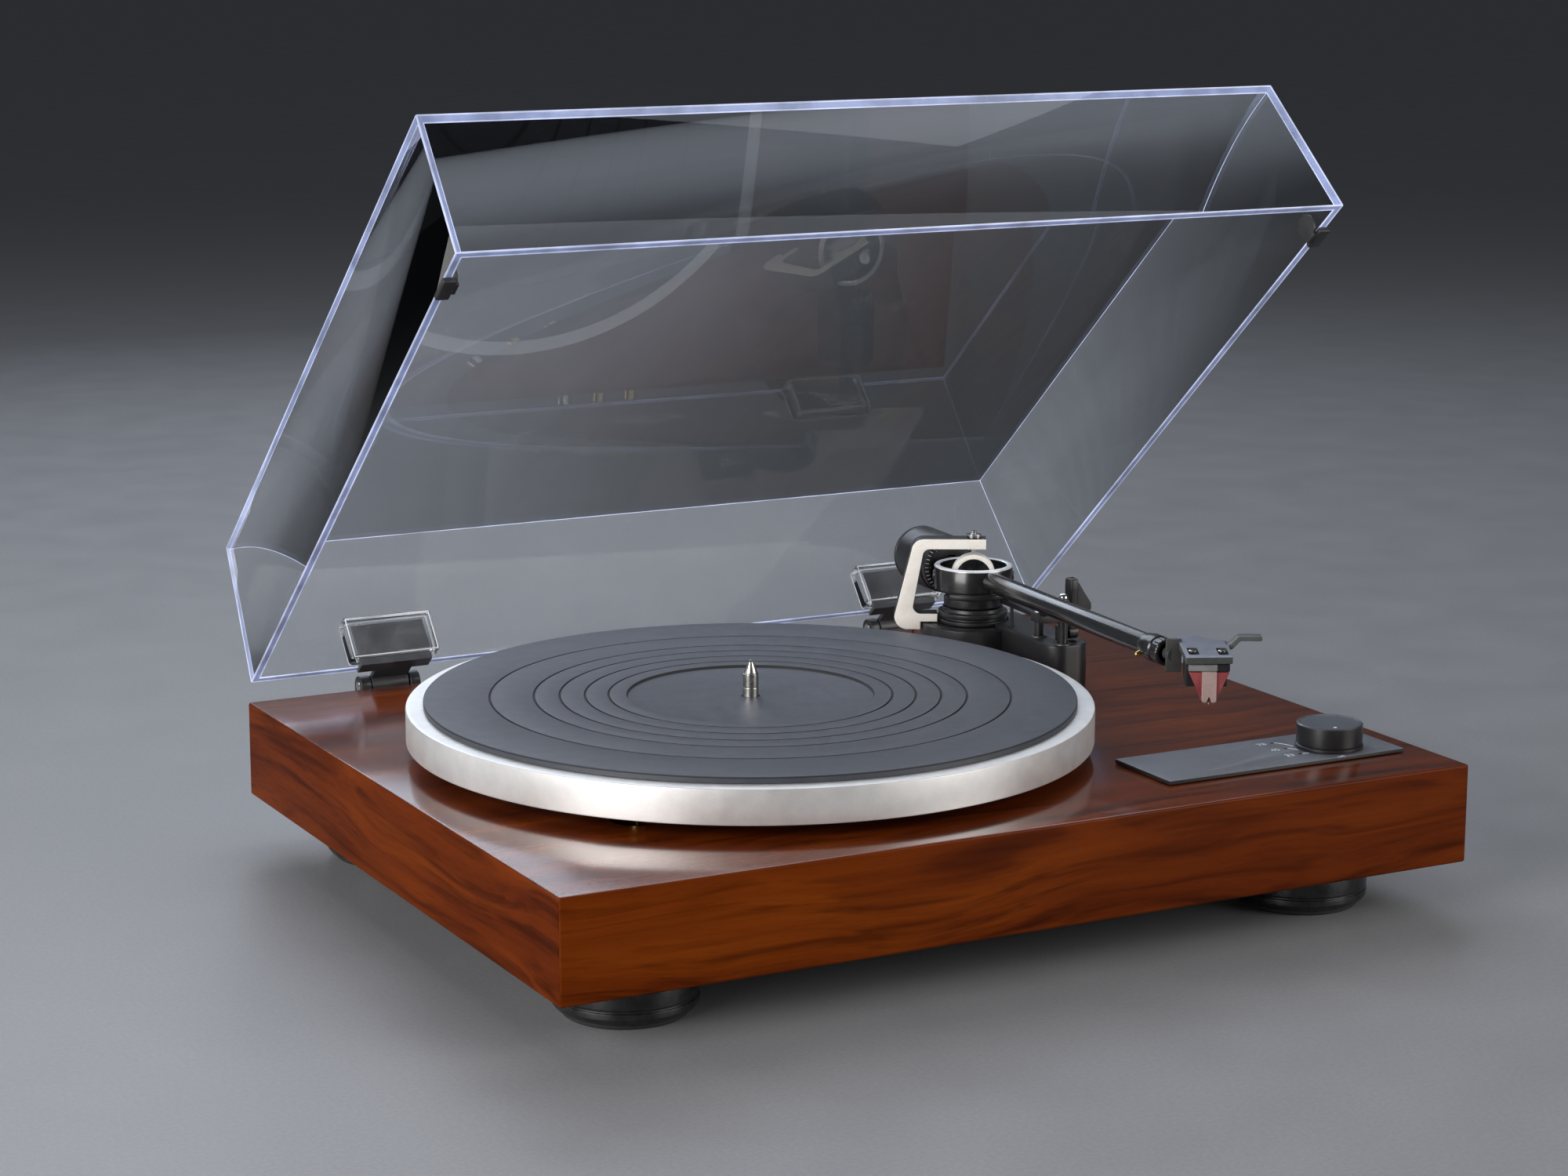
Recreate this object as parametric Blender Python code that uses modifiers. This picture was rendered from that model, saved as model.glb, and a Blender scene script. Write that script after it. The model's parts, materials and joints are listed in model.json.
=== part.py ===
"""Belt-driven record player with a hinged clear lid, built as separate solids.

Metres, +Z up, +X to the right and +Y to the back. The origin is on the floor, in the middle of the box
that holds the whole player with its lid open. Most sizes are measured in the deck frame, whose zero is
the middle of the plinth's front top edge: x to the right, y to the back, z up from the plinth's top.
"""
import bmesh
import bpy
from math import atan2, cos, degrees, hypot, pi, radians, sin
from mathutils import Matrix

GAP = 0.0003            # air between solids that rest on each other

# Plinth and feet
PLINTH_W, PLINTH_D, PLINTH_H = 0.435, 0.3527, 0.0442
PLINTH_WALL, PLINTH_TOP = 0.015, 0.012
COVER_T = 0.003
FOOT_H, FOOT_R = 0.0235, 0.030
FOOT_X, FOOT_FRONT_Y, FOOT_BACK_Y = 0.1657, 0.0514, 0.3051
PAD_R, PAD_T = 0.026, 0.0035

# Lid: rim and top outlines, closed, and the angle it stands open at
LID_RIM_W, LID_TOP_W = 0.4281, 0.4184
LID_RIM_D, LID_FRONT_DRAFT, LID_BACK_DRAFT = 0.3437, 0.0051, 0.0035
LID_H, LID_WALL, LID_RIM_Z = 0.0717, 0.0035, 0.0033
LID_OPEN = radians(41.4)
HINGE_Y, HINGE_Z = 0.3612, -0.0006
HINGE_X = {"left": -0.1445, "right": 0.1330}
PIN_R, KNUCKLE_R, EAR_R = 0.0020, 0.0045, 0.0049
LEAF_T, LEAF_W, POCKET_W, POCKET_D, POCKET_H = 0.0020, 0.036, 0.0445, 0.0095, 0.022

# Platter, bearing and drive
PLATTER_X, PLATTER_Y, PLATTER_R = -0.0474, 0.1709, 0.15207
PLATTER_LOW, PLATTER_TOP = 0.0063, 0.0217
MAT_R, MAT_T, LABEL_R, LABEL_DEPTH = 0.1443, 0.0027, 0.0543, 0.0012
SPINDLE_R, SPINDLE_TIP = 0.00355, 0.0398
SUB_R, SUB_LOW, SUB_TOP = 0.073, 0.0085, 0.0172
PULLEY_R, PULLEY_REACH, PULLEY_HEADING = 0.009, 0.126, radians(-138.9)
BELT_T, BELT_LOW, BELT_TOP = 0.0008, 0.0110, 0.0150

# Control panel and knob
PANEL = (0.0805, 0.2045, 0.0295, 0.0720)
PANEL_TOP = 0.0022
KNOB_X, KNOB_Y, KNOB_R, KNOB_TOP, KNOB_STEM_R = 0.1766, 0.0469, 0.0146, 0.0135, 0.003

# Tonearm: pivot to spindle, stylus reach, the angle between the cartridge and the arm, heights
PIVOT_TO_SPINDLE, REACH, OFFSET_ANGLE = 0.202, 0.2215, radians(25)
PIVOT_X, PIVOT_Y = 0.1274, 0.2721
ARM_HEADING, ARM_Z, TUBE_R, TUBE_BORE_R = radians(-93.4), 0.0430, 0.0049, 0.0032
RING_OUT, RING_IN, RING_LOW, RING_TOP = 0.01915, 0.0163, 0.0368, 0.0486
YOKE_OUT, YOKE_IN, YOKE_FOOT, YOKE_DEPTH = 0.0107, 0.0084, 0.0343, 0.007
COLLAR_START, COLLAR_END = 0.168, 0.186
STYLUS_Z = 0.0275

# The floor and the middle of the open player fix the deck frame in the world
DECK_Z = FOOT_H + PLINTH_H
LID_TOP_BACK_Y = HINGE_Y + (PLINTH_D - LID_BACK_DRAFT - HINGE_Y) * cos(LID_OPEN) \
    + (LID_RIM_Z + LID_H - HINGE_Z) * sin(LID_OPEN)
DECK_Y = -LID_TOP_BACK_Y / 2

COLOURS = {             # base colour, roughness, metallic
    "veneer": ((0.16, 0.035, 0.008), 0.25, 0.0), "steel": ((0.45, 0.45, 0.46), 0.35, 1.0),
    "dark_metal": ((0.05, 0.05, 0.055), 0.35, 0.8), "rubber": ((0.02, 0.02, 0.02), 0.8, 0.0),
    "black": ((0.012, 0.012, 0.013), 0.35, 0.0), "clear": ((0.9, 0.95, 1.0), 0.02, 0.0),
    "alloy": ((0.62, 0.62, 0.62), 0.35, 1.0), "mat": ((0.045, 0.047, 0.055), 0.75, 0.0),
    "brass": ((0.6, 0.42, 0.15), 0.3, 1.0), "cream": ((0.85, 0.80, 0.70), 0.4, 0.0),
    "grey": ((0.16, 0.17, 0.19), 0.45, 0.0), "red": ((0.42, 0.04, 0.05), 0.3, 0.0),
    "green": ((0.02, 0.10, 0.05), 0.5, 0.0),
}

for old in list(bpy.data.objects):
    bpy.data.objects.remove(old, do_unlink=True)
parts = bpy.data.collections.new("record_player")
tools = bpy.data.collections.new("cutters")
for collection in (parts, tools):
    bpy.context.scene.collection.children.link(collection)


# ---------------------------------------------------------------- helpers

def empty(name, place, turn=(0.0, 0.0, 0.0), parent=None):
    """A guide frame that parts are parented to."""
    guide = bpy.data.objects.new(name, None)
    parts.objects.link(guide)
    guide.parent = parent
    guide.location = place
    guide.rotation_euler = turn
    return guide


def add(name, data, look, parent, place=(0.0, 0.0, 0.0), turn=(0.0, 0.0, 0.0)):
    """Places a mesh or curve. A look of None makes it a tool for a Boolean."""
    thing = bpy.data.objects.new(name, data)
    (tools if look is None else parts).objects.link(thing)
    thing.parent = parent
    thing.location = place
    thing.rotation_euler = turn
    if look is None:
        thing.hide_render = True
        thing.display_type = "WIRE"
    else:
        colour, roughness, metallic = COLOURS[look]
        finish = bpy.data.materials.new(name + "_finish")
        finish.use_nodes = True
        shader = finish.node_tree.nodes["Principled BSDF"]
        shader.inputs["Base Color"].default_value = (*colour, 1.0)
        shader.inputs["Roughness"].default_value = roughness
        shader.inputs["Metallic"].default_value = metallic
        data.materials.append(finish)
    return thing


def box(name, low, high, look, parent):
    """A box between two corners."""
    size = [b - a for a, b in zip(low, high)]
    shape = bmesh.new()
    bmesh.ops.create_cube(shape, size=1.0, matrix=Matrix.Diagonal((*size, 1.0)))
    mesh = bpy.data.meshes.new(name)
    shape.to_mesh(mesh)
    shape.free()
    return add(name, mesh, look, parent, [(a + b) / 2 for a, b in zip(low, high)])


TURN_TO = {"z": (0.0, 0.0, 0.0), "x": (0.0, pi / 2, 0.0), "y": (-pi / 2, 0.0, 0.0)}


def rod(name, radius, start, length, look, parent, along="z", steps=16, end_radius=None):
    """A cylinder or cone that runs for length along an axis from its start point."""
    shape = bmesh.new()
    tip = radius if end_radius is None else end_radius
    bmesh.ops.create_cone(shape, cap_ends=True, segments=steps, radius1=radius, radius2=tip, depth=length,
                          matrix=Matrix.Translation((0.0, 0.0, length / 2)))
    mesh = bpy.data.meshes.new(name)
    shape.to_mesh(mesh)
    shape.free()
    mesh.shade_smooth()
    mesh.set_sharp_from_angle(angle=radians(40))
    return add(name, mesh, look, parent, start, TURN_TO[along])


def turned(name, profile, look, parent, place=(0.0, 0.0, 0.0), along="z", steps=32):
    """A turned solid. The profile is (radius, height) points, down the outer side from the top.

    A profile that starts and ends on the axis is solid, and any other is a ring.
    """
    solid = profile[0][0] == 0.0
    mesh = bpy.data.meshes.new(name)
    count = len(profile)
    edges = [(i, i + 1) for i in range(count - 1)]
    if not solid:
        edges.append((count - 1, 0))
    mesh.from_pydata([(r, 0.0, z) for r, z in profile], edges, [])
    thing = add(name, mesh, look, parent, place, TURN_TO[along])
    screw = thing.modifiers.new("turn", "SCREW")
    screw.axis = "Z"
    screw.angle = 2 * pi
    screw.steps = screw.render_steps = steps
    screw.use_merge_vertices = True
    screw.merge_threshold = 0.00001
    return thing


def arc(x, y, radius, start, end, count=6):
    """Points of an arc, with its angles in degrees."""
    angles = [radians(start + (end - start) * i / count) for i in range(count + 1)]
    return [(x + radius * cos(a), y + radius * sin(a)) for a in angles]


def plate(name, outlines, thickness, look, parent, place=(0.0, 0.0, 0.0), turn=(0.0, 0.0, 0.0)):
    """A flat outline, with holes if it has more than one loop, thickened about its middle plane."""
    curve = bpy.data.curves.new(name, "CURVE")
    curve.dimensions = "2D"
    curve.fill_mode = "BOTH"
    curve.extrude = thickness / 2
    for outline in outlines:
        spline = curve.splines.new("POLY")
        spline.points.add(len(outline) - 1)
        for point, (x, y) in zip(spline.points, outline):
            point.co = (x, y, 0.0, 1.0)
        spline.use_cyclic_u = True
    drawn = bpy.data.objects.new(name + "_outline", curve)
    parts.objects.link(drawn)
    graph = bpy.context.evaluated_depsgraph_get()
    mesh = bpy.data.meshes.new_from_object(drawn.evaluated_get(graph))
    bpy.data.objects.remove(drawn, do_unlink=True)
    bpy.data.curves.remove(curve)
    shape = bmesh.new()
    shape.from_mesh(mesh)
    bmesh.ops.remove_doubles(shape, verts=shape.verts, dist=0.000001)
    bmesh.ops.recalc_face_normals(shape, faces=shape.faces)
    shape.to_mesh(mesh)
    shape.free()
    mesh.name = name
    return add(name, mesh, look, parent, place, turn)


def boolean(thing, others, operation):
    for other in others:
        step = thing.modifiers.new(other.name, "BOOLEAN")
        step.operation = operation
        step.solver = "EXACT"
        step.object = other


def cut(thing, *others):
    boolean(thing, others, "DIFFERENCE")


def join(thing, *others):
    boolean(thing, others, "UNION")


def bevel(thing, width, segments=2):
    edge = thing.modifiers.new("edge", "BEVEL")
    edge.width = width
    edge.segments = segments
    edge.limit_method = "ANGLE"


def taper(thing, top_x, top_y, shift_y=0.0):
    """Scales the upper vertices of a box about its middle, and slides them along y."""
    for vertex in thing.data.vertices:
        if vertex.co.z > 0:
            vertex.co.x *= top_x
            vertex.co.y = vertex.co.y * top_y + shift_y


deck = empty("deck", (0.0, DECK_Y, DECK_Z))


# ---------------------------------------------------------------- plinth, cover and feet

def make_plinth():
    half = PLINTH_W / 2
    plinth = box("plinth", (-half, 0.0, -PLINTH_H), (half, PLINTH_D, 0.0), "veneer", deck)
    bevel(plinth, 0.0012)
    inner = half - PLINTH_WALL
    hollow = box("plinth_hollow", (-inner, PLINTH_WALL, -PLINTH_H - 0.01),
                 (inner, PLINTH_D - PLINTH_WALL, -PLINTH_TOP), None, deck)
    cut(plinth, hollow)
    for name, x, y, radius in (("bearing", PLATTER_X, PLATTER_Y, 0.0105), ("pulley", *pulley_place(), 0.012),
                               ("switch", KNOB_X, KNOB_Y, 0.006), ("arm_wire", PIVOT_X, PIVOT_Y, 0.006)):
        cut(plinth, rod(name + "_hole", radius, (x, y, -0.02), 0.03, None, deck))
    cut(plinth, box("jack_opening", (-0.026, PLINTH_D - 0.03, -0.036), (0.078, PLINTH_D + 0.01, -0.012),
                    None, deck))
    cover = box("bottom_cover", (-inner + GAP, PLINTH_WALL + GAP, -PLINTH_H),
                (inner - GAP, PLINTH_D - PLINTH_WALL - GAP, COVER_T - PLINTH_H), "black", deck)
    bevel(cover, 0.0005, 1)


def make_foot(name, x, y):
    """A stepped metal foot with a rubber pad in its underside."""
    top = -PLINTH_H - GAP
    low = -PLINTH_H - FOOT_H
    profile = [(0.0, top), (0.0255, top), (0.0255, top - 0.0028), (FOOT_R - 0.0012, top - 0.0034),
               (FOOT_R, top - 0.0046), (FOOT_R, low + 0.0052), (FOOT_R - 0.0016, low + 0.0030),
               (PAD_R + 0.0008, low + 0.0022), (PAD_R + 0.0008, low + PAD_T), (0.0, low + PAD_T)]
    turned("foot_" + name, profile, "dark_metal", deck, (x, y, 0.0), steps=40)
    pad = [(0.0, low + PAD_T - GAP), (PAD_R, low + PAD_T - GAP), (PAD_R, low + 0.0006), (PAD_R - 0.0006, low),
           (0.0, low)]
    turned("foot_pad_" + name, pad, "rubber", deck, (x, y, 0.0), steps=32)


# ---------------------------------------------------------------- platter, bearing and drive

def pulley_place():
    return (PLATTER_X + PULLEY_REACH * cos(PULLEY_HEADING), PLATTER_Y + PULLEY_REACH * sin(PULLEY_HEADING))


def make_platter():
    spin = empty("platter_axis", (PLATTER_X, PLATTER_Y, 0.0), parent=deck)
    bore = SPINDLE_R + GAP + 0.0001
    low, top = PLATTER_LOW, PLATTER_TOP
    turned("platter", [(bore, top), (PLATTER_R - 0.0006, top), (PLATTER_R, top - 0.0006),
                       (PLATTER_R, low + 0.0006), (PLATTER_R - 0.0006, low), (0.140, low), (0.138, low + 0.002),
                       (0.138, top - 0.0042), (bore, top - 0.0042)], "alloy", spin, steps=72)
    mat_low, mat_top = top + GAP, top + GAP + MAT_T
    turned("mat", [(bore, mat_top - LABEL_DEPTH), (LABEL_R, mat_top - LABEL_DEPTH), (LABEL_R + 0.0006, mat_top),
                   (MAT_R - 0.0008, mat_top), (MAT_R, mat_top - 0.0008), (MAT_R, mat_low), (bore, mat_low)],
           "mat", spin, steps=72)
    turned("sub_platter", [(bore, SUB_TOP), (SUB_R, SUB_TOP), (SUB_R, SUB_LOW), (0.018, SUB_LOW), (0.014, 0.0045),
                           (bore, 0.0045)], "black", spin, steps=48)
    turned("platter_spindle", [(0.0, SPINDLE_TIP), (0.0006, SPINDLE_TIP - 0.0002),
                               (SPINDLE_R - 0.0003, SPINDLE_TIP - 0.0053), (SPINDLE_R, SPINDLE_TIP - 0.0065),
                               (SPINDLE_R, -0.0290), (0.0018, -0.0305), (0.0, -0.0305)],
           "steel", spin, steps=20)
    sleeve, bored = 0.0092, SPINDLE_R + GAP + 0.0001
    turned("bearing_housing", [(bored, 0.0026), (0.020, 0.0026), (0.020, GAP), (sleeve, GAP), (sleeve, -0.034),
                               (0.0, -0.034), (0.0, -0.0310), (bored, -0.0310)], "steel", spin, steps=32)


def make_drive():
    x, y = pulley_place()
    spin = empty("pulley_axis", (x, y, 0.0), parent=deck)
    low = BELT_LOW - 0.001
    turned("motor_pulley", [(0.0, BELT_TOP + 0.0012), (PULLEY_R + 0.0008, BELT_TOP + 0.0012),
                            (PULLEY_R + 0.0008, BELT_TOP + 0.0006), (PULLEY_R, BELT_TOP), (PULLEY_R, BELT_LOW),
                            (PULLEY_R + 0.0008, low + 0.0004), (PULLEY_R + 0.0008, low), (0.004, low),
                            (0.004, 0.0015), (0.0010, 0.0015), (0.0010, -0.0200), (0.0, -0.0200)],
           "brass", spin, steps=28)
    turned("motor", [(0.0014, -0.0124), (0.019, -0.0124), (0.0198, -0.0132), (0.0198, -0.0350),
                     (0.019, -0.0358), (0.0, -0.0358), (0.0, -0.0205), (0.0014, -0.0205)],
           "dark_metal", spin, steps=28)
    # The belt lies on the hull of two circles, a gap clear of both
    lean = (SUB_R - PULLEY_R) / PULLEY_REACH
    tangent = 90 - degrees(atan2(lean, (1 - lean * lean) ** 0.5))

    def loop(clear):
        big = arc(0.0, 0.0, SUB_R + clear, tangent, 360 - tangent, 40)
        small = arc(PULLEY_REACH, 0.0, PULLEY_R + clear, -tangent, tangent, 12)
        return big + small

    plate("drive_belt", [loop(GAP + BELT_T), loop(GAP)], BELT_TOP - BELT_LOW - 2 * GAP, "rubber", deck,
          (PLATTER_X, PLATTER_Y, (BELT_TOP + BELT_LOW) / 2), (0.0, 0.0, PULLEY_HEADING))


# ---------------------------------------------------------------- controls and electrics

def make_controls():
    x0, x1, y0, y1 = PANEL
    panel = box("control_panel", (x0, y0, GAP), (x1, y1, PANEL_TOP), "black", deck)
    bevel(panel, 0.0003, 1)
    cut(panel, rod("panel_hole", 0.006, (KNOB_X, KNOB_Y, -0.01), 0.02, None, deck))
    low = PANEL_TOP + 0.0004
    turned("speed_knob", [(0.0, KNOB_TOP), (KNOB_R - 0.0009, KNOB_TOP), (KNOB_R, KNOB_TOP - 0.0007),
                          (KNOB_R, low + 0.0016), (KNOB_R + 0.0004, low + 0.0012), (KNOB_R + 0.0004, low),
                          (KNOB_STEM_R, low), (KNOB_STEM_R, -0.0220), (0.0, -0.0220)],
           "black", deck, (KNOB_X, KNOB_Y, 0.0), steps=40)
    switch = box("speed_switch", (KNOB_X - 0.012, KNOB_Y - 0.012, -0.0270),
                 (KNOB_X + 0.012, KNOB_Y + 0.012, -PLINTH_TOP - GAP), "grey", deck)
    cut(switch, rod("switch_bore", KNOB_STEM_R + 0.0004, (KNOB_X, KNOB_Y, -0.0226), 0.02, None, deck))
    box("control_board", (0.030, 0.230, -0.0370), (0.110, 0.290, -0.0354), "green", deck)


def make_rear():
    face = PLINTH_D + GAP
    panel = box("rear_panel", (-0.032, face, -0.038), (0.084, face + 0.0016, -0.010), "black", deck)
    bevel(panel, 0.0004, 1)
    outer = face + 0.0016 + GAP
    for name, x in (("rca_jack_left", 0.0400), ("rca_jack_right", 0.0220)):
        cut(panel, rod(name + "_hole", 0.0036, (x, PLINTH_D - 0.01, -0.024), 0.02, None, deck, "y"))
        sleeve, flange = 0.0085, 0.0016
        turned(name, [(0.0020, sleeve), (0.0042, sleeve), (0.0042, flange), (0.0058, flange), (0.0058, 0.0),
                      (0.0032, 0.0), (0.0032, -0.010), (0.0, -0.010), (0.0, -0.004), (0.0020, -0.004)],
               "brass", deck, (x, outer, -0.024), "y", steps=20)
    cut(panel, rod("ground_hole", 0.0024, (0.0020, PLINTH_D - 0.01, -0.024), 0.02, None, deck, "y"))
    turned("ground_post", [(0.0, 0.0090), (0.0040, 0.0090), (0.0046, 0.0082), (0.0046, 0.0030),
                           (0.0030, 0.0024), (0.0030, 0.0), (0.0020, 0.0), (0.0020, -0.008), (0.0, -0.008)],
           "steel", deck, (0.0020, outer, -0.024), "y", steps=20)
    cut(panel, box("switch_slot", (0.0530, PLINTH_D - 0.01, -0.0265), (0.0630, PLINTH_D + 0.01, -0.0215),
                   None, deck))
    nub = box("output_switch", (0.0537, face - 0.0010, -0.0257), (0.0582, face + 0.0050, -0.0223), "grey", deck)
    heel = box("output_switch_heel", (0.0500, face - 0.0040, -0.0290), (0.0620, face - 0.0006, -0.0190),
               None, deck)
    join(nub, heel)
    cut(panel, rod("inlet_hole", 0.0052, (0.0725, PLINTH_D - 0.01, -0.024), 0.02, None, deck, "y"))
    turned("dc_inlet", [(0.0030, 0.0012), (0.0062, 0.0012), (0.0062, 0.0), (0.0048, 0.0), (0.0048, -0.014),
                        (0.0, -0.014), (0.0, -0.011), (0.0030, -0.011)],
           "black", deck, (0.0725, outer, -0.024), "y", steps=20)


# ---------------------------------------------------------------- lid and hinges

def lid_box(name, inset, low, high, look):
    """A box with the lid's draft, inset from its outer faces, between two heights above the rim."""
    rim_w, rim_d = LID_RIM_W - 2 * inset, LID_RIM_D - 2 * inset
    front = PLINTH_D - LID_RIM_D + inset
    back = PLINTH_D - inset
    side_slope = (LID_RIM_W - LID_TOP_W) / 2 / LID_H
    front_slope, back_slope = LID_FRONT_DRAFT / LID_H, LID_BACK_DRAFT / LID_H
    thing = box(name, (-rim_w / 2, front, LID_RIM_Z + low), (rim_w / 2, back, LID_RIM_Z + high), look, lid_frame)
    for vertex in thing.data.vertices:
        height = low if vertex.co.z < 0 else high
        vertex.co.x -= side_slope * height * (1 if vertex.co.x > 0 else -1)
        vertex.co.y += front_slope * height if vertex.co.y < 0 else -back_slope * height
    return thing


def make_lid():
    shell = lid_box("lid", 0.0, 0.0, LID_H, "clear")
    cut(shell, lid_box("lid_hollow", LID_WALL, -0.01, LID_H - LID_WALL, None))
    side = LID_RIM_W / 2 - LID_WALL / 2
    y0 = PLINTH_D - LID_RIM_D + 0.022
    for name, way in (("left", -1), ("right", 1)):
        # A pad under the rim, with a round lobe on the wall's inner side
        outer, inner = way * (side + 0.0026), way * (side - 0.0046)
        pad = box("lid_bumper_" + name, (min(outer, inner), y0 - 0.006, GAP),
                  (max(outer, inner), y0 + 0.006, LID_RIM_Z - GAP), "rubber", lid_frame)
        bevel(pad, 0.0005, 1)
        lobe_x = inner if way > 0 else inner - 0.0018
        lobe = rod("bumper_lobe_" + name, 0.0058, (lobe_x, y0, 0.0072), 0.0018, None, lid_frame, "x", 16)
        join(pad, lobe)


def make_hinge(name):
    x = HINGE_X[name]
    # Deck side: a plate on the plinth's back, two ears and the pin
    back = PLINTH_D + GAP
    body = box("hinge_body_" + name, (x - 0.016, back, -0.034), (x + 0.016, back + 0.0035, -0.0080), "black", deck)
    bevel(body, 0.0006, 1)
    ear = [(back + 0.0005, -0.026), (back + 0.0035, -0.026), (HINGE_Y + EAR_R, HINGE_Z - 0.004)]
    ear += arc(HINGE_Y, HINGE_Z, EAR_R, 0, 180, 10)
    ear += [(back + 0.0005, -0.010)]
    for side, middle in (("a", x - 0.0125), ("b", x + 0.0125)):
        join(body, plate("ear_%s_%s" % (side, name), [ear], 0.005, None, deck, (middle, 0.0, 0.0),
                         (pi / 2, 0.0, pi / 2)))
    join(body, rod("pin_" + name, PIN_R, (x - 0.0115, HINGE_Y, HINGE_Z), 0.023, None, deck, "x", 16))
    # Lid side: a knuckle on the pin, an arm under the rim and a leaf up inside the clear pocket
    wall = PLINTH_D - LID_WALL
    leaf_y = wall - 0.0055
    low, high = HINGE_Z + 0.0014, HINGE_Z + 0.0014 + LEAF_T
    side = [(HINGE_Y, low), (HINGE_Y, high), (leaf_y + LEAF_T / 2, high), (leaf_y + LEAF_T / 2, LID_RIM_Z + 0.018),
            (leaf_y - LEAF_T / 2, LID_RIM_Z + 0.018), (leaf_y - LEAF_T / 2, low)]
    leaf = plate("hinge_leaf_" + name, [side], LEAF_W, "dark_metal", lid_frame, (x, 0.0, 0.0),
                 (pi / 2, 0.0, pi / 2))
    cut(leaf, *[box("leaf_side_%d_%s" % (way, name), (x + min(way * 0.0092, way * 0.03), wall + 0.0005, -0.02),
                    (x + max(way * 0.0092, way * 0.03), HINGE_Y + 0.01, 0.02), None, lid_frame)
                for way in (-1, 1)])
    knuckle = rod("knuckle_" + name, KNUCKLE_R, (x - 0.0092, HINGE_Y, HINGE_Z), 0.0184, None, lid_frame, "x", 20)
    join(leaf, knuckle)
    cut(leaf, rod("knuckle_bore_" + name, PIN_R + 0.0004, (x - 0.02, HINGE_Y, HINGE_Z), 0.04, None, lid_frame,
                  "x", 16))
    # The clear pocket, glued to the rear wall and open at its lower edge
    low, high = LID_RIM_Z + 0.0004, LID_RIM_Z + POCKET_H
    lean = LID_BACK_DRAFT / LID_H * POCKET_H
    pocket = box("hinge_pocket_" + name, (x - POCKET_W / 2, wall - GAP - POCKET_D, low),
                 (x + POCKET_W / 2, wall - GAP, high), "clear", lid_frame)
    taper(pocket, 1.0, 1.0, -lean)
    cut(pocket, box("pocket_slot_" + name, (x - LEAF_W / 2 - 0.0008, leaf_y - 0.0021, low - 0.01),
                    (x + LEAF_W / 2 + 0.0008, leaf_y + 0.0017, LID_RIM_Z + 0.0190), None, lid_frame))


# ---------------------------------------------------------------- tonearm stand

def make_stand():
    """The round base, the long housing, the bearing column and the bracket that holds the top pivot."""
    base = turned("arm_base", [(0.0, 0.0200), (0.0248, 0.0200), (0.0254, 0.0194), (0.0254, GAP), (0.0, GAP)],
                  "black", stand, steps=40)
    out, start, end, low, high = 0.0090, -0.004, 0.0740, 0.0030, 0.0260
    corner = [(start, low)] + arc(end - out, low + out, out, -90, 0) + arc(end - out, high - out, out, 0, 90)
    corner += [(start, high)]
    housing = plate("arm_housing", [corner], 0.0217 - GAP, None, stand, (0.0, 0.0, (0.0217 + GAP) / 2))
    join(base, housing)
    cut(base, rod("column_seat", 0.0176, (0.0, 0.0, 0.0200), 0.01, None, stand, "z", 32))
    lug = box("lever_lug", (0.0595, 0.0130, 0.0210), (0.0665, 0.0165, 0.0290), None, stand)
    join(base, lug)
    cut(base, rod("lever_bore", 0.0019, (0.063, 0.005, 0.0256), 0.02, None, stand, "y", 16))
    cut(base, rod("lift_bore", 0.0026, (0.0509, 0.0092, 0.008), 0.03, None, stand, "z", 16))
    cut(base, rod("guide_bore", 0.0014, (0.0260, 0.0077, 0.008), 0.03, None, stand, "z", 12))
    cut(base, rod("rest_bore", 0.0028, (0.0706, 0.0112, 0.012), 0.03, None, stand, "z", 16))

    foot = 0.0205
    turned("bearing_column", [(0.0020, 0.0339), (0.0050, 0.0339), (0.0050, 0.0279), (0.0150, 0.0279),
                              (0.0150, 0.0262), (0.0170, 0.0258), (0.0170, 0.0240), (0.0155, 0.0236),
                              (0.0155, 0.0226), (0.0170, 0.0222), (0.0170, foot), (0.0, foot), (0.0, 0.0300),
                              (0.0020, 0.0300)], "black", stand, steps=32)
    turned("antiskate_dial", [(0.0054, 0.0330), (0.0136, 0.0330), (0.0143, 0.0323), (0.0143, 0.0286),
                              (0.0136, 0.0282), (0.0054, 0.0282)], "black", stand, steps=32)

    # The bracket's outline, across the arm (x) and up (y), is cut from thick plate
    top, under = 0.0616, 0.0566
    outline = [(0.0059, top)] + arc(-0.0245, top - 0.006, 0.006, 90, 175, 4)
    outline += arc(-0.0320, 0.0232, 0.0066, 178, 270, 5)
    outline += [(-0.0258, 0.0166), (-0.0258, 0.0205), (-0.0175, 0.0205), (-0.0175, 0.0245)]
    outline += arc(-0.0255, 0.0285, 0.004, -90, -175, 3) + arc(-0.0215, under - 0.0035, 0.0035, 175, 90, 3)
    outline += [(0.0059, under)]
    bracket = plate("c_bracket", [outline], 0.010, "cream", gimbal, (0.0, 0.0, -ARM_Z), (pi / 2, 0.0, pi / 2))
    cut(bracket, rod("top_screw_hole", 0.0020, (0.0, 0.0, 0.05 - ARM_Z), 0.02, None, gimbal, "z", 16))
    turned("top_pivot_screw", [(0.0, 0.0650), (0.0014, 0.0650), (0.0014, 0.0636), (0.0038, 0.0634),
                               (0.0038, top + GAP), (0.0016, top + GAP), (0.0016, 0.0560), (0.0005, 0.0541),
                               (0.0, 0.0541)], "steel", stand, steps=18)


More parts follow.
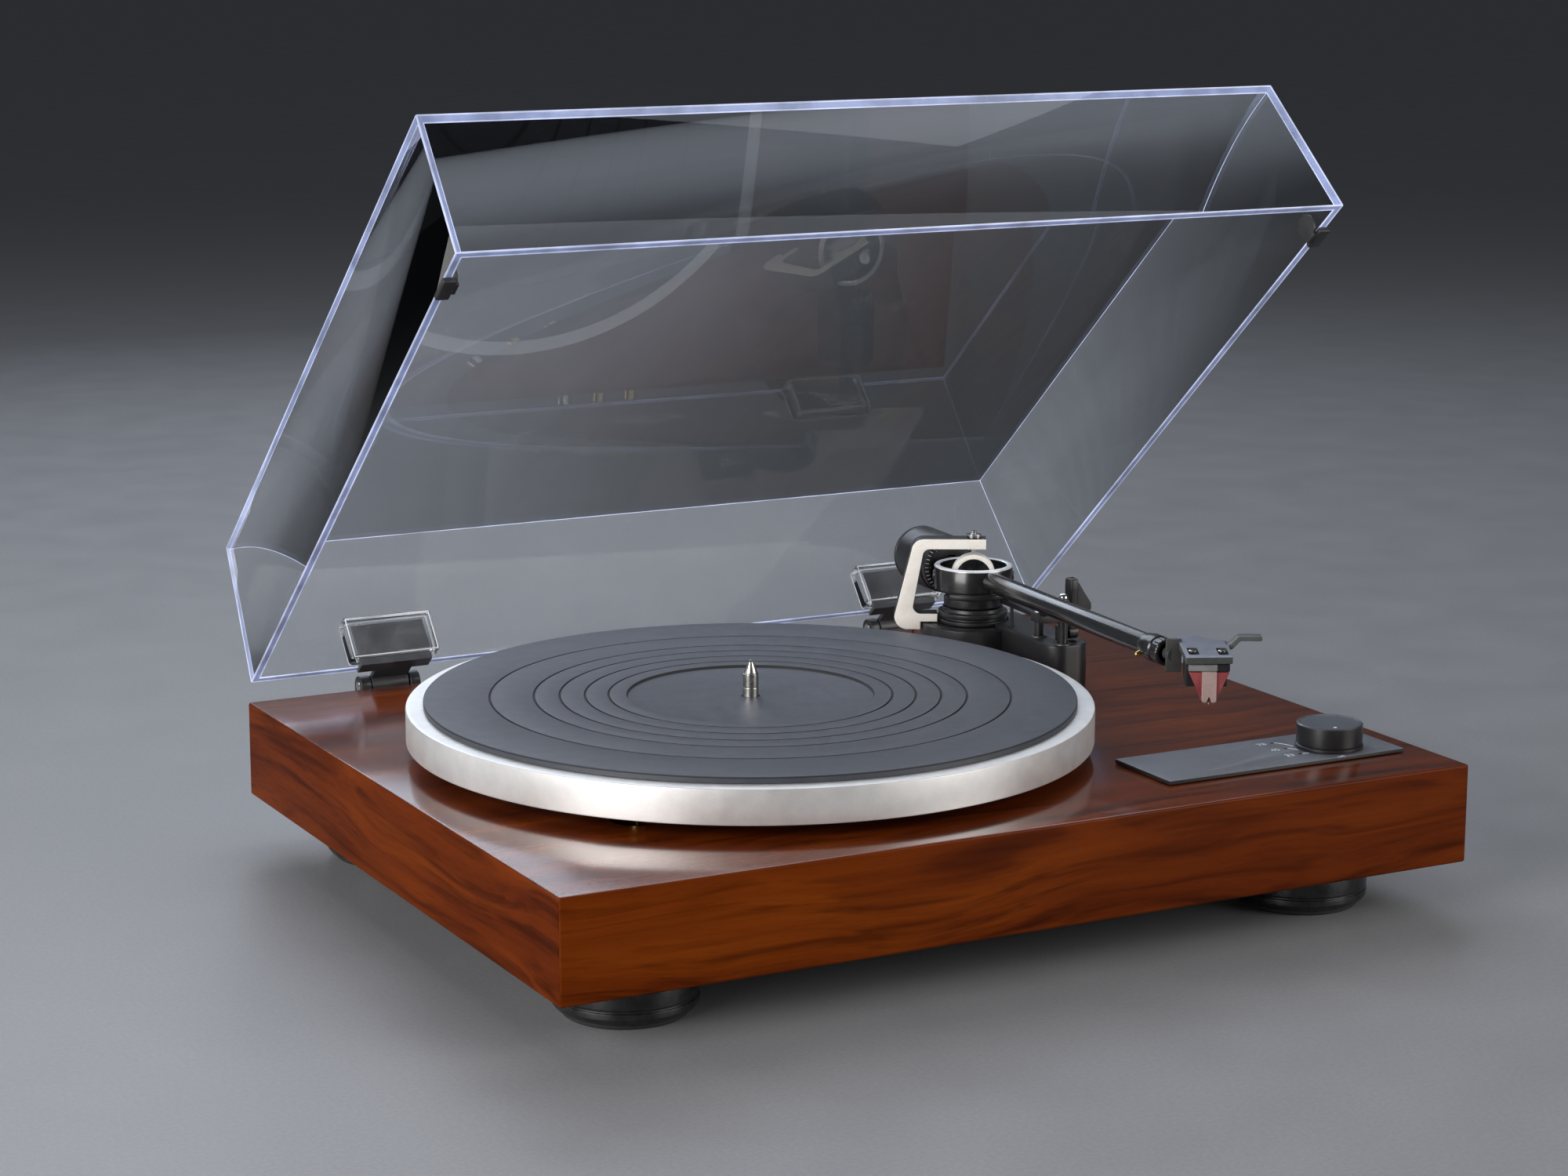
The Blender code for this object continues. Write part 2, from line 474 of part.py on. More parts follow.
def make_rest_and_lift():
    rest = turned("arm_rest", [(0.0, 0.0466), (0.0011, 0.0464), (0.0019, 0.0457), (0.0024, 0.0445), (0.0024, 0.0135),
                               (0.0, 0.0135)], "black", stand, (0.0706, 0.0112, 0.0), steps=16)
    hook = box("rest_hook", (0.0665, -0.0040, 0.0336), (0.0747, 0.0118, 0.0372), None, stand)
    back = box("rest_back", (0.0665, 0.0062, 0.0340), (0.0747, 0.0125, 0.0440), None, stand)
    join(rest, hook, back)

    # The lift: an arc bar about the pivot, under the tube, a rail, and a piston with a guide rod
    sweep = arc(0.0, 0.0, 0.0234, -58, 30, 12) + arc(0.0, 0.0, 0.0206, 30, -58, 12)
    lift = plate("lift_platform", [sweep], 0.0026, "black", stand, (0.0, 0.0, 0.0359))
    rail = box("lift_rail", (0.0150, 0.0067, 0.0312), (0.0610, 0.0102, 0.0336), None, stand)
    riser = box("lift_riser", (0.0182, 0.0074, 0.0320), (0.0214, 0.0098, 0.0369), None, stand)
    piston = rod("lift_piston", 0.0021, (0.0509, 0.0092, 0.0120), 0.0200, None, stand, "z", 16)
    guide = rod("lift_guide", 0.0009, (0.0260, 0.0077, 0.0140), 0.0180, None, stand, "z", 12)
    join(lift, riser, rail, piston, guide)

    # The cue lever turns about a pin across the arm
    lever_axis = empty("lever_axis", (0.063, 0.0, 0.0256), parent=stand)
    lever = rod("cue_lever", 0.0032, (0.0, 0.0175, 0.0), 0.0050, "black", lever_axis, "y", 16)
    blade = [(-0.0022, 0.0), (0.0022, 0.0), (0.0034, 0.0215), (0.0030, 0.0259), (-0.0026, 0.0264),
             (-0.0030, 0.0215)]
    join(lever, plate("lever_blade", [blade], 0.0042, None, lever_axis, (0.0, 0.0198, 0.0), (pi / 2, 0.0, 0.0)))
    fin = [(0.0, 0.0060), (0.0066, 0.0080), (0.0086, 0.0108), (0.0084, 0.0135), (0.0040, 0.0200),
           (0.0018, 0.0236), (0.0, 0.0250), (-0.0012, 0.0250), (-0.0012, 0.0060)]
    join(lever, plate("lever_fin", [fin], 0.0030, None, lever_axis, (0.0, 0.0215, 0.0), (pi / 2, 0.0, pi / 2)))
    join(lever, rod("lever_pin", 0.0015, (0.0, 0.0125, 0.0), 0.0065, None, lever_axis, "y", 12))


# ---------------------------------------------------------------- tonearm

def make_yoke():
    """The upright inner yoke: an arch with a foot pin for the lower pivot and a pin to each side."""
    foot = YOKE_FOOT - ARM_Z
    outer = [(YOKE_OUT, foot)] + arc(0.0, 0.0, YOKE_OUT, 0, 180, 14) + [(-YOKE_OUT, foot)]
    inner = [(YOKE_IN, foot + 0.0024)] + arc(0.0, 0.0, YOKE_IN, 0, 180, 12) + [(-YOKE_IN, foot + 0.0024)]
    yoke = plate("gimbal_yoke", [outer, inner], YOKE_DEPTH, "cream", gimbal, (0.0, 0.0, 0.0),
                 (pi / 2, 0.0, pi / 2))
    join(yoke, rod("yoke_foot_pin", 0.0015, (0.0, 0.0, 0.0305 - ARM_Z), 0.005, None, gimbal, "z", 12))
    for name, start in (("near", -0.0159), ("far", 0.0095)):
        join(yoke, rod("yoke_pin_" + name, 0.0015, (0.0, start, 0.0), 0.0064, None, gimbal, "y", 12))


def make_arm():
    low, top = RING_LOW - ARM_Z, RING_TOP - ARM_Z
    turned("gimbal_ring", [(RING_IN + 0.0006, top), (RING_OUT - 0.0005, top), (RING_OUT, top - 0.0005),
                           (RING_OUT, low + 0.0005), (RING_OUT - 0.0005, low), (RING_IN, low),
                           (RING_IN, top - 0.0006)], "black", arm, steps=44)
    start = RING_OUT + GAP
    turned("arm_tube", [(TUBE_BORE_R, COLLAR_START - GAP), (TUBE_R, COLLAR_START - GAP), (TUBE_R, start),
                        (TUBE_BORE_R, start)], "black", arm, along="x", steps=24)
    turned("locking_collar", [(0.0046, COLLAR_END), (0.0058, COLLAR_END), (0.0062, 0.1855), (0.0062, 0.1815),
                              (0.0056, 0.1808), (0.0056, 0.1795), (0.0062, 0.1788), (0.0062, 0.1735),
                              (0.0056, 0.1728), (0.0056, 0.1695), (0.0052, COLLAR_START), (0.0046, COLLAR_START)],
           "black", arm, along="x", steps=24)
    rod("weight_shaft", 0.0044, (-0.0660, 0.0, 0.0), 0.0660 - start, "dark_metal", arm, "x", 20)
    weight = empty("weight_axis", (0.0, 0.0, 0.0), parent=arm)
    turned("weight_bushing", [(0.0048, -0.0300), (0.0090, -0.0300), (0.0090, -0.0560), (0.0048, -0.0560)],
           "rubber", weight, along="x", steps=24)
    turned("counterweight", [(0.0098, -0.0299), (0.0140, -0.0299), (0.0145, -0.0304), (0.0145, -0.0590),
                             (0.0135, -0.0600), (0.0098, -0.0600)], "black", weight, along="x", steps=36)
    turned("force_dial", [(0.0056, -0.0240), (0.0128, -0.0240), (0.0140, -0.0252), (0.0140, -0.0295),
                          (0.0056, -0.0295)], "black", weight, along="x", steps=36)


def make_headshell():
    """The flat shell, with its neck along the arm, cut slots, a side tab and the finger lift."""
    top, low = 0.0489 - ARM_Z, 0.0458 - ARM_Z
    outline = [(0.0032, -0.0105), (0.0017, 0.0100), (-0.0322, 0.0111), (-0.0331, 0.0043), (-0.0391, 0.0005),
               (-0.0438, -0.0032), (-0.0422, -0.0069), (-0.0397, -0.0106)]
    shell_plate = plate("headshell", [outline], top - low, "grey", shell, (0.0, 0.0, (top + low) / 2))
    neck = rod("headshell_neck", 0.0030, (COLLAR_END + GAP, 0.0, 0.0), 0.0048, None, arm, "x", 20)
    tab = box("headshell_tab", (-0.0294, -0.0162, 0.0352 - ARM_Z), (-0.0272, -0.0092, 0.0502 - ARM_Z), None, shell)
    join(shell_plate, neck, tab)
    cut(shell_plate, rod("collar_notch", 0.0066, (COLLAR_START, 0.0, 0.0), COLLAR_END - COLLAR_START + 0.0002,
                         None, arm, "x", 24))
    # Each slot is wide above and narrow below, and its screw's head stands in the wide part
    floor = 0.0472 - ARM_Z
    for name, side in (("near", -0.0062), ("far", 0.0066)):
        wide = box("recess_" + name, (-0.0163, side - 0.0023, floor), (-0.0027, side + 0.0023, top + 0.001),
                   None, shell)
        narrow = box("slot_" + name, (-0.0148, side - 0.0014, low - 0.001), (-0.0042, side + 0.0014, top + 0.001),
                     None, shell)
        cut(shell_plate, wide, narrow)
        turned("cartridge_screw_" + name, [(0.0, 0.0494 - ARM_Z), (0.0015, 0.0493 - ARM_Z),
                                           (0.0019, 0.0489 - ARM_Z), (0.0019, floor + GAP), (0.0010, floor + GAP),
                                           (0.0010, low + 0.0004), (0.0, low + 0.0004)],
               "steel", shell, (-0.0103, side, 0.0), steps=16)
    lift = [(0.0101, 0.0468), (0.0101, 0.0489), (0.0113, 0.0491), (0.0150, 0.0527), (0.0256, 0.0527),
            (0.0256, 0.0506), (0.0160, 0.0506), (0.0124, 0.0468)]
    handle = plate("finger_lift", [[(x, y - ARM_Z) for x, y in lift]], 0.0062, "grey", shell,
                   (-0.0250, 0.0, 0.0), (pi / 2, 0.0, pi / 2))
    cut(shell_plate, box("lift_seat", (-0.0285, 0.0098, low - 0.001), (-0.0215, 0.02, top + 0.001), None, shell))
    bevel(handle, 0.0003, 1)


def make_cartridge():
    """The fixed cartridge body and, in front of and below it, the pull-off stylus block."""
    top = 0.0455 - ARM_Z
    side = [(-0.0230, top), (0.0, top), (0.0, 0.0421 - ARM_Z), (-0.0098, 0.0421 - ARM_Z),
            (-0.0098, 0.0330 - ARM_Z), (-0.0190, 0.0330 - ARM_Z), (-0.0230, 0.0370 - ARM_Z)]
    plate("cartridge_body", [side], 0.0170, "black", shell, (0.0, 0.0, 0.0), (pi / 2, 0.0, 0.0))
    low = 0.0290 - ARM_Z
    block = box("stylus_assembly", (-0.0094, -0.0088, low), (0.0022, 0.0088, 0.0418 - ARM_Z), "red", shell)
    for vertex in block.data.vertices:
        if vertex.co.z < 0:
            vertex.co.x = vertex.co.x * 0.6 + 0.0010
            vertex.co.y *= 0.36
    tip = rod("stylus_tip", 0.0006, (0.0, 0.0, STYLUS_Z - ARM_Z), 0.0040, None, shell, "z", 8, 0.0009)
    join(block, tip)


# ---------------------------------------------------------------- assembly

make_plinth()
for foot_name, foot_x, foot_y in (("front_left", -FOOT_X, FOOT_FRONT_Y), ("front_right", FOOT_X, FOOT_FRONT_Y),
                                  ("back_left", -FOOT_X, FOOT_BACK_Y), ("back_right", FOOT_X, FOOT_BACK_Y)):
    make_foot(foot_name, foot_x, foot_y)
make_platter()
make_drive()
make_controls()
make_rear()

# The lid's parts are drawn closed, in deck measures, in a frame that is turned open about the hinge
hinge_axis = empty("hinge_axis", (0.0, HINGE_Y, HINGE_Z), (-LID_OPEN, 0.0, 0.0), deck)
lid_frame = empty("lid_frame", (0.0, -HINGE_Y, -HINGE_Z), parent=hinge_axis)
make_lid()
for hinge_name in HINGE_X:
    make_hinge(hinge_name)

# Frames at the tonearm's pivot: along the arm (x) on the deck and at the arm's height, along the
# cartridge (x) at the arm's height, and along the cartridge at the stylus
stand = empty("arm_stand", (PIVOT_X, PIVOT_Y, 0.0), (0.0, 0.0, ARM_HEADING), deck)
arm = empty("arm_axis", (0.0, 0.0, ARM_Z), parent=stand)
gimbal = empty("gimbal_axis", (0.0, 0.0, 0.0), (0.0, 0.0, -OFFSET_ANGLE), arm)
shell = empty("shell_axis", (REACH, 0.0, 0.0), (0.0, 0.0, -OFFSET_ANGLE), arm)
make_stand()
make_rest_and_lift()
make_yoke()
make_arm()
make_headshell()
make_cartridge()
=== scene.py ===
"""Looks of the record player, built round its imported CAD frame.

The pieces are drawn in millimetres, and show() turns them into metres. Materials, lights, floor and camera
are in metres. Most sizes are in the deck's measure: x to the right from the middle, y to the back from the
plinth's front, z up from its top. The tonearm's pieces use frames at its pivot, with x along the arm.
"""
import bmesh
import bpy
import json
from math import atan2, cos, pi, radians, sin, tan
from mathutils import Matrix, Vector


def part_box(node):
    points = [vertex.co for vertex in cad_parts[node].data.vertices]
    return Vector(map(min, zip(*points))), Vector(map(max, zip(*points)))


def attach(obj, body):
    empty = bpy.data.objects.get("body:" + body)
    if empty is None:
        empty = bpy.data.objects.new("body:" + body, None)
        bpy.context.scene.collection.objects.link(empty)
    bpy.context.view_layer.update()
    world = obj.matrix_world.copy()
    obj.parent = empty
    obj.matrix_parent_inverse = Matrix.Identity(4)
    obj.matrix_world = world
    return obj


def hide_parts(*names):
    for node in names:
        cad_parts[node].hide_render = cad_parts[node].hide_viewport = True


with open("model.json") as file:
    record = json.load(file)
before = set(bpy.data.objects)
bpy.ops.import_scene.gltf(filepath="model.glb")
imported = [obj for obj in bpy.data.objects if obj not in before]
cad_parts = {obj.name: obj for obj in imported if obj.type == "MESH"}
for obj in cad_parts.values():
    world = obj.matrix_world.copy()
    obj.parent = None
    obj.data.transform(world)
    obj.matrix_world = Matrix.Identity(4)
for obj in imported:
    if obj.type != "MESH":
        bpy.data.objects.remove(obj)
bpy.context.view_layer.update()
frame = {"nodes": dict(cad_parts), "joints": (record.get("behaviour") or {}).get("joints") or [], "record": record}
scene = bpy.context.scene
SLOTS = {part["node"]: part["material_slot"] for part in frame["record"]["subparts"]}

# ---- frames

MOVE = Matrix.Translation


def shift(x, y, z=0):
    return MOVE((x, y, z))


def spin_z(angle):
    return Matrix.Rotation(angle, 4, "Z")


def joint(name):
    return next(j for j in frame["joints"] if j["name"] == name)


def box(node):
    return [corner * 1000 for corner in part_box(node)]


plinth_low, plinth_high = box("plinth")
DECK = shift(0, plinth_low.y, plinth_high.z)
DECK_INV = DECK.inverted()


def middle(node):
    """The middle of a CAD node, in the deck's measure."""
    low, high = box(node)
    return DECK_INV @ ((low + high) / 2)


PLINTH_W, PLINTH_D, PLINTH_H = plinth_high - plinth_low

platter_mid = middle("platter")
PLATTER = DECK @ shift(platter_mid.x, platter_mid.y)
pulley_mid = middle("motor_pulley")
PULLEY = DECK @ shift(pulley_mid.x, pulley_mid.y)
knob_mid = middle("speed_knob")
KNOB = DECK @ shift(knob_mid.x, knob_mid.y)

pivot = DECK_INV @ (Vector(joint("arm_swing")["pos_m"]) * 1000)
along = Vector(joint("weight_slide")["axis"])
ARM_HEADING = atan2(along.y, along.x)
ARM_Z = pivot.z
OFFSET_ANGLE = radians(25)
REACH = 221.5
STAND = DECK @ shift(pivot.x, pivot.y) @ spin_z(ARM_HEADING)
ARM = STAND @ shift(0, 0, ARM_Z)
GIMBAL = ARM @ spin_z(-OFFSET_ANGLE)
SHELL = ARM @ shift(REACH, 0) @ spin_z(-OFFSET_ANGLE)

hinge = DECK_INV @ (Vector(joint("lid_hinge")["pos_m"]) * 1000)
LID_OPEN = radians(41.4)
LID = DECK @ shift(0, hinge.y, hinge.z) @ Matrix.Rotation(-LID_OPEN, 4, "X") @ shift(0, -hinge.y, -hinge.z)

ALONG_X = Matrix.Rotation(pi / 2, 4, "Y")           # turned pieces whose axis runs along x
ALONG_Y = Matrix.Rotation(-pi / 2, 4, "X")
STAND_XZ = Matrix.Rotation(pi / 2, 4, "X")          # flat outlines stood up: x, z
STAND_YZ = spin_z(pi / 2) @ STAND_XZ                # flat outlines stood up: y, z


# ---- materials

def tune(node, **values):
    """Sets a node's settings and inputs. Their names have underscores for spaces."""
    for key, value in values.items():
        if hasattr(node, key):
            setattr(node, key, value)
        else:
            node.inputs[key.replace("_", " ")].default_value = value
    return node


def add_node(tree, kind, **values):
    return tune(tree.nodes.new("ShaderNode" + kind), **values)


def noise(tree, source, size, stretch=(1, 1, 1), detail=3, rough=0.5, distortion=0):
    """A noise whose features are about size metres, longer along the axes where stretch is over 1."""
    mapping = add_node(tree, "Mapping")
    mapping.inputs["Scale"].default_value = [1 / (size * s) for s in stretch]
    tree.links.new(source, mapping.inputs["Vector"])
    made = add_node(tree, "TexNoise", Scale=1, Detail=detail, Roughness=rough, Distortion=distortion)
    tree.links.new(mapping.outputs[0], made.inputs["Vector"])
    return made.outputs["Fac"]


def ramp(tree, source, stops):
    """A colour ramp from (place, colour) stops."""
    made = add_node(tree, "ValToRGB")
    marks = made.color_ramp.elements
    while len(marks) < len(stops):
        marks.new(0.5)
    for mark, (place, colour) in zip(marks, stops):
        mark.position = place
        mark.color = (*colour, 1) if len(colour) == 3 else colour
    tree.links.new(source, made.inputs["Fac"])
    return made.outputs["Color"]


def spread(tree, source, low, high, first=0.3, last=0.7):
    """Maps first..last, a noise's middle range, to low..high."""
    made = add_node(tree, "MapRange")
    for key, value in (("From Min", first), ("From Max", last), ("To Min", low), ("To Max", high)):
        made.inputs[key].default_value = value
    tree.links.new(source, made.inputs["Value"])
    return made.outputs["Result"]


def blend(tree, kind, factor, first, second):
    """Mixes two colours, by a number or a socket."""
    made = add_node(tree, "Mix", data_type="RGBA", blend_type=kind)
    for key, value in ((0, factor), (6, first), (7, second)):
        if isinstance(value, bpy.types.NodeSocket):
            tree.links.new(value, made.inputs[key])
        else:
            made.inputs[key].default_value = value if key == 0 else (*value, 1)
    return made.outputs[2]


def start_material():
    made = bpy.data.materials.new("look")
    made.use_nodes = True
    tree = made.node_tree
    shader = tree.nodes["Principled BSDF"]
    return made, tree, shader, add_node(tree, "TexCoord").outputs["Object"]


def add_bump(tree, shader, height, strength, distance):
    made = add_node(tree, "Bump", Strength=strength, Distance=distance)
    tree.links.new(height, made.inputs["Height"])
    tree.links.new(made.outputs[0], shader.inputs["Normal"])


def finish(dark, light, rough, metallic, size, stretch=(1, 1, 1), bump=0.15, depth=0.04, coat=0,
           coat_rough=0.1):
    """A general surface: two colours and a roughness range spread by a broad noise, and a fine grain.

    Colours are in thousandths and roughness in hundredths, the grain's size and depth in millimetres.
    """
    dark, light = ([part / 1000 for part in colour] for colour in (dark, light))
    made, tree, shader, place = start_material()
    broad = noise(tree, place, size / 1000 * 25, detail=4)
    grain = noise(tree, place, size / 1000, stretch, detail=2, rough=0.6)
    colour = ramp(tree, broad, ((0.3, dark), (0.7, light)))
    fleck = ramp(tree, grain, ((0.35, (0.88,) * 3), (0.65, (1,) * 3)))
    tree.links.new(blend(tree, "MULTIPLY", 1, colour, fleck), shader.inputs["Base Color"])
    wear = add_node(tree, "Math", operation="ADD")
    tree.links.new(spread(tree, broad, rough[0] / 100, rough[1] / 100), wear.inputs[0])
    tree.links.new(spread(tree, grain, -0.02, 0.02), wear.inputs[1])
    tree.links.new(wear.outputs[0], shader.inputs["Roughness"])
    add_bump(tree, shader, grain, bump, depth / 1000)
    tune(shader, Metallic=metallic, Coat_Weight=coat, Coat_Roughness=coat_rough)
    return made


def veneer(along_x, gloss):
    """Reddish-brown wood under a satin lacquer, its wavy grain along x or along y."""
    made, tree, shader, place = start_material()
    long_way = (1, 0) if along_x else (0, 1)

    def stretched(length):
        return [length if way else 1 for way in long_way] + [1]

    # Growth lines: straight lines along the grain, pushed sideways by a slow wave
    wave = noise(tree, place, 0.050, stretched(3.4), detail=1.5)
    push = spread(tree, wave, -0.021, 0.021, 0, 1)
    sideways = add_node(tree, "CombineXYZ")
    for axis in ("Y", "Z") if along_x else ("X", "Z"):
        tree.links.new(push, sideways.inputs[axis])
    bent = add_node(tree, "VectorMath", operation="ADD")
    tree.links.new(place, bent.inputs[0])
    tree.links.new(sideways.outputs[0], bent.inputs[1])
    bent = bent.outputs[0]

    broad = noise(tree, bent, 0.015, stretched(18), detail=2)
    colour = ramp(tree, broad, ((0.30, (0.078, 0.0120, 0.0010)), (0.46, (0.116, 0.0192, 0.0014)),
                                (0.60, (0.146, 0.0262, 0.0018)), (0.75, (0.182, 0.0360, 0.0026))))
    # Darker streaks, fine lines and pores: size and length of the grain, detail, strength, and the dark
    # colour with the places where it starts and where it ends
    layers = ((bent, 0.0052, 26, 2, 0.66, 0.32, (0.26, 0.20, 0.17), 0.52),
              (bent, 0.0013, 60, 3, 0.36, 0.32, (0.66, 0.60, 0.55), 0.60),
              (place, 0.0004, 26, 1, 0.40, 0.28, (0.50, 0.42, 0.36), 0.40))
    for source, size, length, detail, strength, start, dark, end in layers:
        grain = noise(tree, source, size, stretched(length), detail)
        mask = ramp(tree, grain, ((start, dark), (end, (1,) * 3)))
        colour = blend(tree, "MULTIPLY", strength, colour, mask)
    tree.links.new(colour, shader.inputs["Base Color"])
    tree.links.new(spread(tree, grain, 0.46, 0.36), shader.inputs["Roughness"])
    add_bump(tree, shader, grain, 0.04, 0.00002)
    tune(shader, Specular_IOR_Level=0.02, Coat_Weight=gloss, Coat_Roughness=0.15, Coat_IOR=1.6)
    return made


def clear(tint):
    """Clear acrylic. Dust and faint haze vary its colour a little."""
    made, tree, shader, place = start_material()
    haze = noise(tree, place, 0.05, detail=5)
    dim = [c * 0.985 for c in tint]
    tree.links.new(ramp(tree, haze, ((0.3, dim), (0.7, tint))), shader.inputs["Base Color"])
    tune(shader, Roughness=0, Transmission_Weight=1, IOR=1.36)
    return made


def painted_glow_edge(colour, strength):
    """A polished acrylic edge with a painted glow: its emission stands in for the light the whole sheet carries to
    it.
    """
    made, tree, shader, place = start_material()
    streaks = noise(tree, place, 0.02, detail=3)
    low = [c * 0.55 for c in colour]
    look = ramp(tree, streaks, ((0.32, low), (0.62, colour)))
    tree.links.new(look, shader.inputs["Base Color"])
    tree.links.new(look, shader.inputs["Emission Color"])
    tune(shader, Emission_Strength=strength, Roughness=0.15)
    return made


LOOKS = {
    "veneer_top": veneer(True, 1),
    "veneer_front": veneer(True, 0.06),
    "veneer_side": veneer(False, 0.06),
    "alloy": finish((860, 850, 840), (920, 910, 900), (40, 45), 0.72, 0.25, bump=0.4, depth=0.03),
    "mat": finish((40, 44, 58), (49, 54, 71), (44, 52), 0, 0.3, bump=0.3),
    # groove: the floors of the mat's grooves, painted darker as shade in them
    "groove": finish((6, 6, 7), (10, 10, 11), (65, 75), 0, 0.3),
    "chrome": finish((700, 690, 670), (800, 790, 770), (10, 18), 1, 0.3, bump=0.05, depth=0.01),
    "steel": finish((500, 480, 450), (620, 600, 570), (22, 30), 1, 0.12, (30, 30, 1), bump=0.2, depth=0.02),
    "brass": finish((550, 360, 120), (700, 500, 200), (18, 28), 1, 0.2),
    "gold": finish((750, 520, 200), (850, 620, 280), (15, 22), 1, 0.3, bump=0.05),
    "black_gloss": finish((11, 11, 12), (14, 14, 15), (24, 27), 0, 0.2, bump=0.03, depth=0.01, coat=0.3,
                          coat_rough=0.12),
    "tube": finish((10, 10, 11), (13, 13, 14), (20, 23), 0, 0.2, bump=0.02, depth=0.01, coat=0.8,
                   coat_rough=0.17),
    "black_satin": finish((10, 10, 11), (14, 14, 16), (34, 39), 0, 0.15, bump=0.2, depth=0.01),
    "black_soft": finish((16, 16, 17), (24, 24, 26), (45, 52), 0, 0.2, bump=0.3, depth=0.02),
    # panel: the panel's top, its own dark grey-blue lightened as painted sheen
    "panel": finish((134, 142, 168), (153, 162, 192), (34, 40), 0, 0.15, (14, 1, 1), bump=0.12, depth=0.01),
    # The knob's top, lightened as painted sheen, and its chamfer, partly metal and partly a painted glint
    "knob_top": finish((64, 70, 87), (79, 87, 107), (34, 40), 0, 0.15, bump=0.12, depth=0.01),
    "knob_edge": finish((85, 90, 105), (110, 115, 130), (24, 32), 0.4, 0.3),
    "cream": finish((880, 840, 770), (940, 910, 850), (30, 38), 0, 0.2, (1, 1, 9), depth=0.02),
    "silver": finish((700, 710, 750), (820, 830, 870), (24, 32), 0.35, 0.3),
    # The headshell's top, lightened as painted sheen, then the same colour darkened as painted shade for its sides
    "shell": finish((200, 216, 272), (236, 255, 320), (32, 38), 0.15, 0.15, depth=0.01),
    "shell_dark": finish((50, 56, 56), (64, 70, 70), (38, 44), 0.1, 0.15),
    "tab": finish((44, 44, 43), (56, 55, 54), (36, 44), 0.1, 0.15),
    "lift": finish((88, 94, 92), (112, 118, 115), (34, 42), 0.1, 0.15),
    "rubber": finish((12, 12, 12), (22, 22, 22), (70, 85), 0, 0.4),
    "foot": finish((30, 31, 33), (50, 51, 54), (24, 32), 0.6, 0.2, (1, 1, 0.3), bump=0.12),
    "white": finish((660, 680, 720), (780, 800, 840), (40, 50), 0, 0.3),
    "red": finish((240, 42, 46), (340, 68, 72), (12, 20), 0, 0.5, bump=0.05, coat=0.5),
    "pink": finish((340, 235, 220), (430, 315, 295), (10, 18), 0, 0.6, bump=0.05),
    "pale_grey": finish((170, 180, 175), (230, 240, 235), (30, 40), 0, 0.4),
    "leaf": finish((45, 46, 50), (70, 72, 78), (38, 48), 0.4, 0.4, (6, 1, 1), bump=0.2),
    "board": finish((10, 60, 30), (16, 85, 45), (35, 45), 0, 0.5),
    "white_plastic": finish((550, 550, 530), (650, 650, 630), (35, 45), 0, 0.4),
    "red_plastic": finish((320, 15, 12), (420, 25, 20), (35, 45), 0, 0.4),
    "clear": clear((0.965, 0.985, 1)),
    "pocket": clear((0.95, 0.97, 0.98)),
    # Painted glow: the lid's edges, the rim between them and the pockets' edges emit light
    "edge": painted_glow_edge((0.50, 0.55, 0.76), 0.50),
    "rim": painted_glow_edge((0.22, 0.26, 0.42), 0.50),
    "pocket_edge": painted_glow_edge((0.46, 0.47, 0.50), 0.25),
    "floor": finish((260, 265, 280), (275, 280, 295), (40, 48), 0, 2, bump=0.05),
}
for look_name, look in LOOKS.items():
    look.name = look_name


# ---- shapes

def to_mesh(shape, mesh=None):
    """The mesh of a finished bmesh."""
    mesh = mesh or bpy.data.meshes.new("piece")
    shape.to_mesh(mesh)
    shape.free()
    return mesh


def smooth(mesh, angle=32):
    mesh.shade_smooth()
    mesh.set_sharp_from_angle(angle=radians(angle))
    return mesh


def soften(points, radius, count=3, closed=False):
    """Rounds the corners of a line of points. A point may carry its own radius as a third number."""
    total = len(points)
    out = []
    for i, point in enumerate(points):
        here = Vector(point[:2])
        wanted = point[2] if len(point) > 2 else radius
        if wanted <= 0 or (not closed and i in (0, total - 1)):
            out.append(tuple(here))
            continue
        before, after = Vector(points[i - 1][:2]) - here, Vector(points[(i + 1) % total][:2]) - here
        turn = before.angle(after, 0)
        if min(before.length, after.length) < 1e-4 or turn > radians(176):
            out.append(tuple(here))
            continue
        reach = min(wanted / tan(turn / 2), 0.45 * before.length, 0.45 * after.length)
        first, last = here + before.normalized() * reach, here + after.normalized() * reach
        for k in range(count + 1):
            t = k / count
            out.append(tuple((1 - t) ** 2 * first + 2 * t * (1 - t) * here + t * t * last))
    return out


def lathe(profile, steps=96, radius=0, bands=()):
    """A turned mesh from (radius, height) points, down the outer side from the top.

    bands gives (lowest z, highest z, material number) for the faces whose middle lies between.
    """
    ring = profile[0][0] > 0
    points = soften(profile, radius, closed=ring) if radius else [p[:2] for p in profile]
    shape = bmesh.new()
    rows = []
    for r, z in points:
        if r < 1e-4:
            rows.append([shape.verts.new((0, 0, z))] * steps)
        else:
            rows.append([shape.verts.new((r * cos(2 * pi * k / steps), r * sin(2 * pi * k / steps), z))
                         for k in range(steps)])
    count = len(rows)
    for i in range(count if ring else count - 1):
        upper, lower = rows[i], rows[(i + 1) % count]
        for k in range(steps):
            corners = []
            for vert in (upper[k], upper[(k + 1) % steps], lower[(k + 1) % steps], lower[k]):
                if vert not in corners:
                    corners.append(vert)
            if len(corners) > 2:
                face = shape.faces.new(corners)
                height = sum(v.co.z for v in corners) / len(corners)
                for low, high, number in bands:
                    if low <= height <= high:
                        face.material_index = number
    bmesh.ops.recalc_face_normals(shape, faces=shape.faces)
    return smooth(to_mesh(shape))


def rod(radius, high, low, steps=48, edge=0):
    return lathe([(0, high), (radius, high), (radius, low), (0, low)], steps, edge)


def sleeve(bore, radius, high, low, steps=48, edge=0):
    return lathe([(bore, high), (radius, high), (radius, low), (bore, low)], steps, edge)


